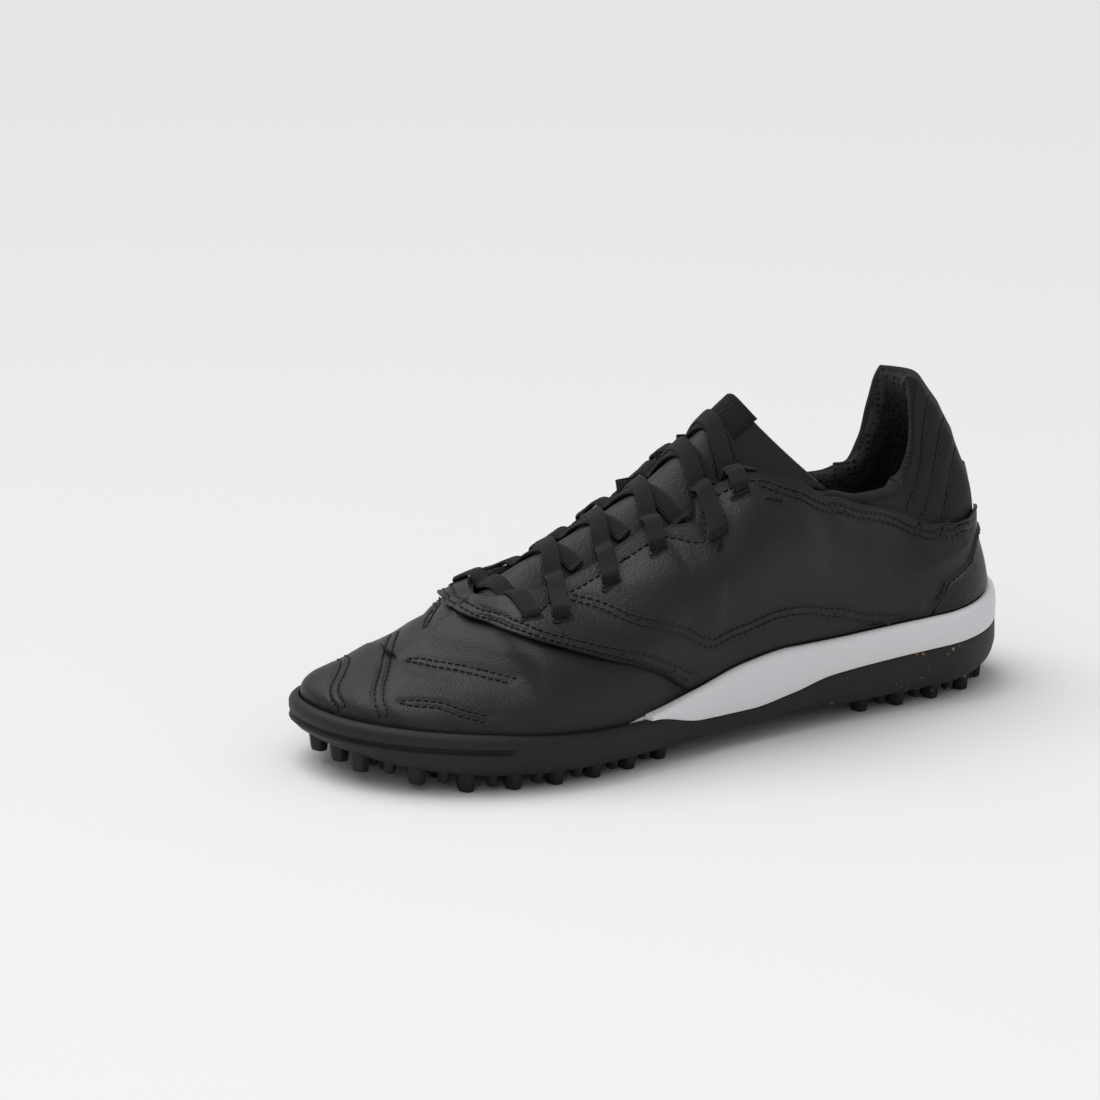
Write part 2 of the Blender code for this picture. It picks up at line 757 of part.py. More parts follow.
def make_laces(material):
    share, rise = EYELETS["share"], EYELETS["rise"]
    make_lace_strap("lace_bar", plan(share[0], -1, rise[0]), plan(share[0], 1, rise[0]), material)
    for i in range(1, 6):
        outer, inner = plan(share[i], -1, rise[i]), plan(share[i], 1, rise[i])
        lift = LACE_LIFT + 0.4 * LACE_THICKNESS
        first = make_lace_strap(f"lace_cross_{i}", under_edge(i - 1, 1), outer, material)
        second = make_lace_strap(f"lace_over_{i}", under_edge(i - 1, -1), inner, material, lift)
        join(first, second)


def join(found, other):
    """Union with another object, which becomes a hidden tool."""
    union = found.modifiers.new("join " + other.name, "BOOLEAN")
    union.operation = "UNION"
    union.object = other
    hide(other)


def cut(found, other, solver="EXACT"):
    difference = found.modifiers.new("cut " + other.name, "BOOLEAN")
    difference.operation = "DIFFERENCE"
    difference.solver = solver
    difference.object = other
    hide(other)


def hide(tool):
    tool.hide_render = True
    tool.display_type = "WIRE"
    for collection in list(tool.users_collection):
        collection.objects.unlink(tool)
    TOOLS.objects.link(tool)


def make_slots(material):
    """Cutters for the eyelets: short slits that run along the throat."""
    shape = bmesh.new()
    for share, rise in zip(EYELETS["share"], EYELETS["rise"]):
        for side in (-1, 1):
            centre = upper_point(share, side, rise)
            normal = upper_normal(share, side, rise)
            run = (upper_point(share - 0.01, side, rise) - upper_point(share + 0.01, side, rise)).normalized()
            frame = Matrix((run, normal.cross(run), normal)).transposed().to_4x4()
            frame.translation = centre
            size = Matrix.Diagonal((SLOT_LENGTH, SLOT_WIDTH, SLOT_DEPTH, 1.0))
            bmesh.ops.create_cube(shape, size=1.0, matrix=frame @ size)
    mesh = bpy.data.meshes.new("eyelet_slots")
    shape.to_mesh(mesh)
    shape.free()
    mesh.materials.append(material)
    found = bpy.data.objects.new("eyelet_slots", mesh)
    TOOLS.objects.link(found)
    hide(found)
    return found


def make_lugs(material):
    """All lugs as one tool: tapered hexagonal studs that reach into the outsole's underside."""
    shape = bmesh.new()
    for share, count, span in zip(LUGS["share"], LUGS["count"], LUGS["span"]):
        reach = half_width(share) * span
        for i in range(int(count)):
            y = middle(share) + reach * (2 * i / (count - 1) - 1)
            root = sole_height("base", share) + LUG_ROOT
            foot = 0.0 if share < FLAT_UNTIL else root - LUG_ROOT - LUG_HEIGHT
            place = Matrix.Translation((along(share), y, (root + foot) / 2))
            stretch = Matrix.Diagonal((LUG_WIDTH / LUG_LENGTH, 1.0, 1.0, 1.0))
            turn = Matrix.Rotation(math.radians(90), 4, "Z")
            bmesh.ops.create_cone(
                shape, cap_ends=True, segments=6, radius1=LUG_TAPER * LUG_LENGTH / 2, radius2=LUG_LENGTH / 2,
                depth=root - foot, matrix=place @ stretch @ turn,
            )
    mesh = bpy.data.meshes.new("lugs")
    shape.to_mesh(mesh)
    shape.free()
    mesh.materials.append(material)
    found = bpy.data.objects.new("lugs", mesh)
    TOOLS.objects.link(found)
    return found


def material(name, colour, roughness, metallic=0.0):
    made = bpy.data.materials.new(name)
    made.use_nodes = True
    shader = made.node_tree.nodes["Principled BSDF"]
    shader.inputs["Base Color"].default_value = (*colour, 1.0)
    shader.inputs["Roughness"].default_value = roughness
    shader.inputs["Metallic"].default_value = metallic
    return made


for old in list(bpy.data.objects):
    bpy.data.objects.remove(old)
SHOE = bpy.data.collections.new("turf_shoe")
bpy.context.scene.collection.children.link(SHOE)
TOOLS = bpy.data.collections.new("tools")
bpy.context.scene.collection.children.link(TOOLS)

LEATHER = material("leather", (0.020, 0.020, 0.021), 0.45)
RUBBER = material("rubber", (0.018, 0.018, 0.019), 0.60)
FOAM = material("foam", (0.85, 0.84, 0.86), 0.55)
TEXTILE = material("textile", (0.012, 0.012, 0.013), 0.90)
LACE = material("lace", (0.015, 0.015, 0.014), 0.85)

SHARES = stations()
join(make_outsole(SHARES, RUBBER), make_lugs(RUBBER))
make_midsole(SHARES, FOAM)
make_insole(SHARES, TEXTILE)
SLOTS = make_slots(LEATHER)
cut(make_upper(SHARES, LEATHER), SLOTS)
cut(make_saddle(SHARES, LEATHER), SLOTS, "MANIFOLD")
make_counter(SHARES, LEATHER)
make_back_strip(LEATHER)
make_tongue(TEXTILE)
make_label(TEXTILE)
make_laces(LACE)
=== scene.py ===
# Turf shoe, left foot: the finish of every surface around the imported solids
import math

import bpy
import numpy as np
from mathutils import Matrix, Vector
from mathutils.bvhtree import BVHTree
from mathutils.kdtree import KDTree


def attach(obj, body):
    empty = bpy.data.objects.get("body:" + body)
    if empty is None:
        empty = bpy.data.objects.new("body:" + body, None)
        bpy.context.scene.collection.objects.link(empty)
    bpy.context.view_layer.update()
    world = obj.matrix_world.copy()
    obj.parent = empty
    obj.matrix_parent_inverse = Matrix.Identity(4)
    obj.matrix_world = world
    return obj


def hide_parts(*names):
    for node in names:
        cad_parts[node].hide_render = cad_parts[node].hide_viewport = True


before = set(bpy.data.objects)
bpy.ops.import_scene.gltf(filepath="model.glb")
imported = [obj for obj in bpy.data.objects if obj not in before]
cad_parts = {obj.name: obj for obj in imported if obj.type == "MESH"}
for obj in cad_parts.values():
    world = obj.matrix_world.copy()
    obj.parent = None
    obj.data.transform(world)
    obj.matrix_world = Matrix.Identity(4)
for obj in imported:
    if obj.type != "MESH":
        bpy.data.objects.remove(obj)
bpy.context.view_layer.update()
print("stage: frame loaded")

# The shoe's own sizes, in metres
shoe = {
    "length": 0.228,
    "ballWidth": 0.088,
    "soleHeight": 0.030,
    "instepHeight": 0.0775,
    "collarHeight": 0.096,
    "wall": 0.0020,
    "collarPadding": 0.0065,
    "overlay": 0.0012,
    "overlayGap": 0.0003,
    "rimWidth": 0.0030,
    "clearance": 0.0003,
    "heelRound": 0.150,
    "heelPower": 2.15,
    "toeRound": 0.330,
    "toePower": 2.25,
    "midsoleTip": 0.625,
    "throatBase": 0.778,
    "throatEnd": 0.035,
}
fineness = 1.0


def table(names, rows):
    values = np.array(rows, float)
    return {name: values[:, i] for i, name in enumerate(names.split())}


# Sections of the sole: widths are shares of half the ball width, heights are shares of the sole height
soleTable = table(
    "share half centre base plate side bed cuff",
    [
        (0.00, 0.680, 0.05, 0.30, 0.40, 0.63, 0.66, 0.97),
        (0.06, 0.710, 0.05, 0.20, 0.31, 0.59, 0.62, 0.91),
        (0.15, 0.745, 0.05, 0.16, 0.27, 0.57, 0.60, 0.88),
        (0.25, 0.750, 0.03, 0.16, 0.27, 0.55, 0.58, 0.87),
        (0.33, 0.735, 0.00, 0.17, 0.27, 0.51, 0.55, 0.86),
        (0.39, 0.725, -0.02, 0.18, 0.27, 0.41, 0.52, 0.86),
        (0.46, 0.740, -0.03, 0.17, 0.26, 0.34, 0.50, 0.80),
        (0.54, 0.800, -0.03, 0.16, 0.24, 0.36, 0.50, 0.66),
        (0.62, 0.880, -0.03, 0.15, 0.22, 0.49, 0.52, 0.55),
        (0.69, 0.945, -0.02, 0.15, 0.22, 0.50, 0.42, 0.50),
        (0.77, 0.990, 0.01, 0.15, 0.22, 0.53, 0.38, 0.53),
        (0.85, 1.010, 0.06, 0.17, 0.24, 0.58, 0.39, 0.58),
        (0.92, 1.030, 0.12, 0.22, 0.29, 0.62, 0.43, 0.62),
        (1.00, 1.060, 0.22, 0.32, 0.39, 0.66, 0.50, 0.66),
    ],
)

# Top edge of the upper, and the vamp's ridge
topTable = table(
    "share instep collar inner",
    [
        (0.000, 0.000, 0.990, 0.000),
        (0.132, 0.000, 0.990, 0.000),
        (0.141, 0.000, 0.955, 0.000),
        (0.148, 0.000, 0.865, 0.000),
        (0.154, 0.000, 0.765, 0.000),
        (0.168, 0.000, 0.700, 0.020),
        (0.200, 0.000, 0.676, 0.036),
        (0.255, 0.000, 0.686, 0.040),
        (0.312, 0.000, 0.722, 0.036),
        (0.350, 0.942, 0.000, 0.028),
        (0.395, 0.988, 0.000, 0.016),
        (0.430, 1.000, 0.000, 0.008),
        (0.460, 0.972, 0.000, 0.000),
        (0.493, 0.915, 0.000, 0.000),
        (0.513, 0.846, 0.000, 0.000),
        (0.535, 0.836, 0.000, 0.000),
        (0.556, 0.836, 0.000, 0.000),
        (0.580, 0.805, 0.000, 0.000),
        (0.640, 0.720, 0.000, 0.000),
        (0.690, 0.664, 0.000, 0.000),
        (0.740, 0.640, 0.000, 0.000),
        (0.778, 0.622, 0.000, 0.000),
        (0.800, 0.590, 0.000, 0.000),
        (0.850, 0.490, 0.000, 0.000),
        (0.900, 0.415, 0.000, 0.000),
        (0.930, 0.370, 0.000, 0.000),
    ],
)

# Sections of the upper, from the feather line to the top edge
lastTable = table(
    "share open reach slope swell low high",
    [
        (0.00, 0.36, 0.113, 46, -8, 0.36, 0.36),
        (0.03, 0.36, 0.109, 50, -8, 0.36, 0.36),
        (0.06, 0.38, 0.093, 58, -6, 0.37, 0.36),
        (0.10, 0.38, 0.068, 66, -4, 0.38, 0.36),
        (0.14, 0.42, 0.038, 76, -2, 0.38, 0.36),
        (0.21, 0.50, 0.006, 82, 0, 0.40, 0.36),
        (0.26, 0.55, 0.000, 80, 1, 0.40, 0.38),
        (0.32, 0.57, 0.000, 74, 2, 0.42, 0.40),
        (0.36, 0.55, 0.000, 62, 2, 0.44, 0.42),
        (0.40, 0.49, 0.000, 48, 2, 0.46, 0.42),
        (0.43, 0.42, 0.000, 38, 2, 0.48, 0.42),
        (0.46, 0.37, 0.000, 32, 1, 0.50, 0.42),
        (0.493, 0.31, 0.000, 28, 1, 0.50, 0.42),
        (0.513, 0.42, 0.000, 32, 1, 0.50, 0.42),
        (0.535, 0.37, 0.000, 30, 1, 0.50, 0.42),
        (0.556, 0.28, 0.000, 26, 1, 0.50, 0.42),
        (0.58, 0.27, 0.000, 24, 2, 0.50, 0.42),
        (0.69, 0.26, 0.000, 20, 4, 0.48, 0.42),
        (0.76, 0.24, 0.000, 16, 5, 0.46, 0.38),
        (0.80, 0.00, 0.000, 14, 5, 0.46, 0.34),
        (0.85, 0.00, -0.016, 8, 5, 0.46, 0.38),
        (0.90, 0.00, -0.040, 3, 5, 0.48, 0.44),
        (0.95, 0.00, -0.072, 0, 5, 0.50, 0.48),
        (1.00, 0.00, -0.112, 0, 5, 0.52, 0.50),
    ],
)

# How thick the padding round the ankle is, and the rise where it starts
paddingTable = table(
    "share full low",
    [
        (0.00, 0.75, 0.45),
        (0.08, 0.70, 0.45),
        (0.16, 0.62, 0.40),
        (0.26, 0.55, 0.45),
        (0.36, 0.30, 0.50),
        (0.43, 0.00, 0.55),
        (1.00, 0.00, 0.55),
    ],
)

# Edges of the panel round the throat and along both quarters, as rises on the upper
saddleTable = table(
    "share lower upper",
    [
        (0.010, 0.240, 0.330),
        (0.033, 0.240, 0.350),
        (0.077, 0.232, 0.570),
        (0.120, 0.205, 0.670),
        (0.157, 0.050, 0.760),
        (0.170, 0.010, 0.790),
        (0.243, 0.010, 0.915),
        (0.323, 0.010, 0.965),
        (0.400, 0.010, 1.000),
        (0.545, 0.010, 1.000),
        (0.587, 0.120, 1.000),
        (0.653, 0.330, 1.000),
        (0.703, 0.490, 1.000),
        (0.753, 0.650, 1.000),
        (0.778, 0.740, 1.000),
        (0.793, 0.830, 1.000),
        (0.800, 0.890, 1.000),
        (0.8065, 0.985, 1.000),
    ],
)

tongueTable = table(
    "share height half drop sweep",
    [
        (0.835, 0.380, 0.28, 0.13, 0.00),
        (0.800, 0.434, 0.32, 0.14, 0.00),
        (0.772, 0.470, 0.38, 0.20, 0.00),
        (0.740, 0.532, 0.41, 0.32, 0.00),
        (0.715, 0.566, 0.42, 0.38, 0.00),
        (0.650, 0.622, 0.43, 0.42, 0.00),
        (0.580, 0.693, 0.43, 0.40, 0.00),
        (0.515, 0.770, 0.44, 0.42, 0.02),
        (0.455, 0.875, 0.42, 0.48, 0.14),
        (0.420, 0.940, 0.41, 0.56, 0.34),
        (0.393, 0.984, 0.40, 0.60, 0.50),
    ],
)


def column(rows, name, share):
    # Monotone cubic through the rows of a table
    x, y = rows["share"], rows[name]
    if x[0] > x[-1]:
        x, y = x[::-1], y[::-1]
    step = np.diff(x)
    rise = np.diff(y) / step
    grade = np.zeros(len(x))
    same = rise[:-1] * rise[1:] > 0
    near, far = 2 * step[1:] + step[:-1], step[1:] + 2 * step[:-1]
    inner = np.zeros(len(x) - 2)
    inner[same] = (near + far)[same] / (near[same] / rise[:-1][same] + far[same] / rise[1:][same])
    grade[1:-1] = inner
    grade[0], grade[-1] = rise[0], rise[-1]
    share = np.clip(share, x[0], x[-1])
    i = np.clip(np.searchsorted(x, share, side="right") - 1, 0, len(step) - 1)
    h, t = step[i], (share - x[i]) / step[i]
    return (
        y[i] * (1 + 2 * t) * (1 - t) ** 2
        + y[i + 1] * t * t * (3 - 2 * t)
        + grade[i] * h * t * (1 - t) ** 2
        + grade[i + 1] * h * t * t * (t - 1)
    )


halfBall = shoe["ballWidth"] / 2


def alongShoe(share):
    return shoe["length"] * (0.5 - share)


def middleLine(share):
    return column(soleTable, "centre", share) * halfBall


def halfWidth(share):
    heel = np.clip(1 - share / shoe["heelRound"], 0, 1)
    toe = np.clip(1 - (1 - share) / shoe["toeRound"], 0, 1)
    hp, tp = shoe["heelPower"], shoe["toePower"]
    ends = (1 - heel**hp) ** (1 / hp) * (1 - toe**tp) ** (1 / tp)
    return column(soleTable, "half", share) * halfBall * ends


def outlinePoint(share, side, inset):
    # Plan point of the sole's outline moved in, and the outward direction there
    share = np.asarray(share, float)
    step = 1e-4
    low, high = np.clip(share - step, 0, 1), np.clip(share + step, 0, 1)
    runX = alongShoe(high) - alongShoe(low)
    runY = middleLine(high) + side * halfWidth(high) - middleLine(low) - side * halfWidth(low)
    outX, outY = -runY, runX
    flip = np.where(outY * side < 0, -1.0, 1.0)
    outX, outY = outX * flip, outY * flip
    outX = np.where(share <= step, 1.0, np.where(share >= 1 - step, -1.0, outX))
    outY = np.where((share <= step) | (share >= 1 - step), 0.0, outY)
    size = np.hypot(outX, outY)
    outX, outY = outX / size, outY / size
    x = alongShoe(share) - outX * inset
    y = middleLine(share) + side * halfWidth(share) - outY * inset
    return x, y, outX, outY


def soleLevel(name, share):
    return column(soleTable, name, share) * shoe["soleHeight"]


def topLevel(share, side):
    instep = column(topTable, "instep", share) * shoe["instepHeight"]
    collar = column(topTable, "collar", share) - np.maximum(0, side) * column(topTable, "inner", share)
    return instep + collar * shoe["collarHeight"]


def throatHalf(share):
    width = column(lastTable, "open", share) * halfBall
    heel = np.clip(1 - share / shoe["heelRound"], 0, 1)
    heelEnd = (1 - heel ** shoe["heelPower"]) ** (1 / shoe["heelPower"])
    front = np.clip(1 - (shoe["throatBase"] - share) / shoe["throatEnd"], 0, 1)
    return width * heelEnd * np.sqrt(1 - front**2)


def upperPoint(share, side, rise):
    # Outer face of the upper: rise 0 is the feather line, 1 the top edge
    share, rise = np.broadcast_arrays(np.asarray(share, float), np.asarray(rise, float))
    footX, footY, outX, outY = outlinePoint(share, side, shoe["rimWidth"] + shoe["clearance"])
    footZ = soleLevel("cuff", share)
    own = share + column(lastTable, "reach", share)
    endX, endY, endZ = alongShoe(own), middleLine(own) + side * throatHalf(share), topLevel(own, side)
    slope = np.radians(column(lastTable, "slope", share))
    step = 0.01
    grade = (topLevel(own - step, 0) - topLevel(own + step, 0)) / (2 * step * shoe["length"])
    slope = slope + np.where(share > shoe["throatBase"], np.arctan(np.maximum(0, -outX) * grade), 0)
    swell = np.radians(column(lastTable, "swell", share))
    low, high = column(lastTable, "low", share), column(lastTable, "high", share)
    tall = endZ - footZ
    plan = np.maximum(np.hypot(endX - footX, endY - footY), tall / np.tan(np.maximum(slope, 0.2)) * 0.5)
    reach = high * (plan * np.cos(slope) + tall * np.sin(slope))
    start = np.stack([footX, footY, footZ], -1)
    end = np.stack([endX, endY, endZ], -1)
    upward = np.stack([outX * np.sin(swell), outY * np.sin(swell), np.cos(swell)], -1)
    downward = np.stack([outX * np.cos(slope), outY * np.cos(slope), -np.sin(slope)], -1)
    first = start + upward * (low * tall)[..., None]
    second = end + downward * reach[..., None]
    t = rise[..., None]
    return start * (1 - t) ** 3 + first * 3 * t * (1 - t) ** 2 + second * 3 * t * t * (1 - t) + end * t**3


def upperNormal(share, side, rise):
    # Outward direction of the upper, from points a small step apart
    share, rise = np.broadcast_arrays(np.asarray(share, float), np.asarray(rise, float))
    step = 0.004
    front, back = np.minimum(share + step, 1), np.maximum(share - step, 0)
    above, below = np.minimum(rise + step, 1), np.maximum(rise - step, 0)
    forward = upperPoint(front, side, rise) - upperPoint(back, side, rise)
    upward = upperPoint(share, side, above) - upperPoint(share, side, below)
    normal = np.cross(forward, upward) * (1 if side > 0 else -1)
    return normal / np.maximum(np.linalg.norm(normal, axis=-1, keepdims=True), 1e-12)


def skin(share, side, rise, lift):
    # Point at a distance from the upper's outer face; both sides agree on the ridge and at the heel
    share, rise = np.broadcast_arrays(np.asarray(share, float), np.asarray(rise, float))
    normal = upperNormal(share, side, rise)
    shared = (share <= 0) | ((rise >= 1) & (share >= shoe["throatBase"]))
    both = upperNormal(share, -1, rise) + upperNormal(share, 1, rise)
    both = both / np.maximum(np.linalg.norm(both, axis=-1, keepdims=True), 1e-12)
    normal = np.where(shared[..., None], both, normal)
    return upperPoint(share, side, rise) + normal * np.asarray(lift)[..., None]


def spaced(low, high, step):
    # Shares about a step apart in metres, closer together at heel and toe where the outline turns
    s = np.linspace(0, 1, 4001)
    x, y, _, _ = outlinePoint(s, -1, 0.0)
    run = np.concatenate([[0], np.cumsum(np.hypot(np.diff(x), np.diff(y)))])
    a, b = np.interp([low, high], s, run)
    count = max(3, int((b - a) / (step / fineness)) + 1)
    found = np.interp(np.linspace(a, b, count), run, s)
    found[0], found[-1] = low, high
    return found


def crowded(count, amount):
    # Numbers from 0 to 1, closer together at both ends
    even = np.linspace(0, 1, count)
    return amount * (0.5 - 0.5 * np.cos(np.pi * even)) + (1 - amount) * even


def smoothstep(x):
    x = np.clip(x, 0, 1)
    return x * x * (3 - 2 * x)


def lengths(line):
    # Running length along a line of points
    return np.concatenate([[0], np.cumsum(np.linalg.norm(np.diff(line, axis=0), axis=1))])


def gridLengths(points, axis):
    # Running length along one axis of a grid of points
    steps = np.cumsum(np.linalg.norm(np.diff(points, axis=axis), axis=2), axis)
    start = np.zeros((len(points), 1)) if axis else np.zeros((1, points.shape[1]))
    return np.concatenate([start, steps], axis)


def along(line, length, at):
    # Points of a line at given running lengths
    return np.stack([np.interp(at, length, line[:, i]) for i in range(3)], -1)


# Meshes

def gridMesh(name, points, closedRows=False):
    # Object from a grid of points (columns, rows, 3)
    cols, rows = points.shape[:2]
    idx = np.arange(cols * rows).reshape(cols, rows)
    a, b, c, d = idx[:-1, :-1], idx[1:, :-1], idx[1:, 1:], idx[:-1, 1:]
    faces = np.stack([a, b, c, d], -1).reshape(-1, 4)
    if closedRows:
        faces = np.vstack([faces, np.stack([idx[:-1, -1], idx[1:, -1], idx[1:, 0], idx[:-1, 0]], -1)])
    return meshObject(name, points.reshape(-1, 3), faces)


def meshObject(name, points, faces):
    mesh = bpy.data.meshes.new(name)
    mesh.from_pydata([tuple(p) for p in np.asarray(points)], [], [tuple(int(i) for i in f) for f in faces])
    found = bpy.data.objects.new(name, mesh)
    bpy.context.scene.collection.objects.link(found)
    return found


def only(obj):
    bpy.ops.object.select_all(action="DESELECT")
    obj.select_set(True)
    bpy.context.view_layer.objects.active = obj


def weld(obj, distance=2e-6):
    # Merge doubled vertices and turn every face outward
    only(obj)
    bpy.ops.object.mode_set(mode="EDIT")
    bpy.ops.mesh.select_all(action="SELECT")
    bpy.ops.mesh.remove_doubles(threshold=distance)
    bpy.ops.mesh.dissolve_degenerate(threshold=distance)
    bpy.ops.mesh.select_all(action="SELECT")
    bpy.ops.mesh.normals_make_consistent(inside=False)
    bpy.ops.object.mode_set(mode="OBJECT")
    return obj


def coords(obj):
    co = np.zeros(len(obj.data.vertices) * 3)
    obj.data.vertices.foreach_get("co", co)
    return co.reshape(-1, 3)


def setCoords(obj, co):
    obj.data.vertices.foreach_set("co", np.ascontiguousarray(co, dtype=np.float32).ravel())
    obj.data.update()


def stamp(obj, name, values):
    # A value on every vertex, for the materials
    layer = obj.data.attributes.new(name, "FLOAT", "POINT")
    layer.data.foreach_set("value", np.ascontiguousarray(values, dtype=np.float32))


def applied(obj, kind, **values):
    only(obj)
    modifier = obj.modifiers.new(kind.lower(), kind)
    for key, value in values.items():
        setattr(modifier, key, value)
    bpy.ops.object.modifier_apply(modifier=modifier.name)
    return obj


def shadeSmooth(obj, angle=40):
    only(obj)
    bpy.ops.object.shade_smooth_by_angle(angle=math.radians(angle))
    return obj


def joinAll(name, objects):
    bpy.ops.object.select_all(action="DESELECT")
    for obj in objects:
        obj.select_set(True)
    bpy.context.view_layer.objects.active = objects[0]
    bpy.ops.object.join()
    objects[0].name = name
    objects[0].data.name = name
    return objects[0]


def distanceTo(co, points):
    # Distance of each vertex to a dense run of points, in metres
    tree = KDTree(len(points))
    for i, p in enumerate(points):
        tree.insert(p, i)
    tree.balance()
    return np.array([tree.find(p)[2] for p in co])


def surfaceTree(objects):
    points, faces, base = [], [], 0
    for obj in objects:
        co = coords(obj)
        points += [Vector(p) for p in co]
        faces += [tuple(base + i for i in f.vertices) for f in obj.data.polygons]
        base += len(co)
    return BVHTree.FromPolygons(points, faces)


# Camera, floor and light

cameraView = {
    "azimuth": -31.9,
    "elevation": 16.0,
    "distance": 1.9735,
    "focal": 6850.3,
    "target": (-0.0367, 0.0022, 0.0566),
    "frame": 1100,
}


def makeCamera(view):
    a, e = math.radians(view["azimuth"]), math.radians(view["elevation"])
    back = Vector((math.sin(a) * math.cos(e), -math.cos(a) * math.cos(e), math.sin(e)))
    bpy.ops.object.camera_add(location=Vector(view["target"]) + back * view["distance"])
    camera = bpy.context.object
    camera.rotation_euler = back.to_track_quat("Z", "Y").to_euler()
    camera.data.sensor_width = 36
    camera.data.lens = view["focal"] / view["frame"] * 36
    camera.data.clip_start = 0.05
    bpy.context.scene.camera = camera


def makeStage():
    bpy.ops.mesh.primitive_plane_add(size=40, location=(0, 0, -0.0001))
    floor = bpy.context.object
    floor.name = "floor"


light = {
    "world": 0.51,
    "sunStrength": 1.55,
    "sunSoftness": 50,
    "sunAzimuth": 25,
    "sunElevation": 62,
    "target": (-0.02, 0, 0.05),
    "topPlace": (-0.35, -0.15, 1.0),
    "topPower": 1.9,
    "topSize": 0.9,
    "sidePlace": (-0.9, -0.9, 0.55),
    "sidePower": 1.0,
    "sideSize": 0.7,
}


def areaLight(name):
    place, target = light[name + "Place"], light["target"]
    bpy.ops.object.light_add(type="AREA", location=place)
    lamp = bpy.context.object
    lamp.name = name
    lamp.data.energy = light[name + "Power"]
    lamp.data.size = light[name + "Size"]
    lamp.rotation_euler = (Vector(place) - Vector(target)).to_track_quat("Z", "Y").to_euler()


def sunLight():
    # Azimuth counts from behind the shoe, so that its near side stays darker
    bpy.ops.object.light_add(type="SUN", location=(0, 0, 2))
    lamp = bpy.context.object
    lamp.name = "sun"
    lamp.data.energy = light["sunStrength"]
    lamp.data.angle = math.radians(light["sunSoftness"])
    a, e = math.radians(light["sunAzimuth"]), math.radians(light["sunElevation"])
    toward = Vector((-math.sin(a) * math.cos(e), math.cos(a) * math.cos(e), math.sin(e)))
    lamp.rotation_euler = toward.to_track_quat("Z", "Y").to_euler()


makeCamera(cameraView)
makeStage()
sunLight()
areaLight("top")
areaLight("side")
world = bpy.data.worlds.new("studio")
bpy.context.scene.world = world
world.use_nodes = True
sky = world.node_tree.nodes["Background"]
sky.inputs["Color"].default_value = (1, 1, 1, 1)
sky.inputs["Strength"].default_value = light["world"]
bpy.context.scene.view_settings.view_transform = "Standard"
print("stage: camera, floor and light")


# Upper: one padded shell, its parts cut apart where the panels hide the joint

shell = {
    "rows": 54,
    "roundRows": 9,
    "spacing": 0.0012,
    "joint": 0.560,
    "channelDepth": 0.00050,
    "channelWidth": 0.0008,
    "puffHeight": 0.0012,
    "puffReach": 0.0075,
    "reliefReach": 0.02,
    "seamPoints": 160,
    "seamEasing": 6,
    "above": 0.15,
    "shareSpan": 228,
    "placeSpan": 70,
}

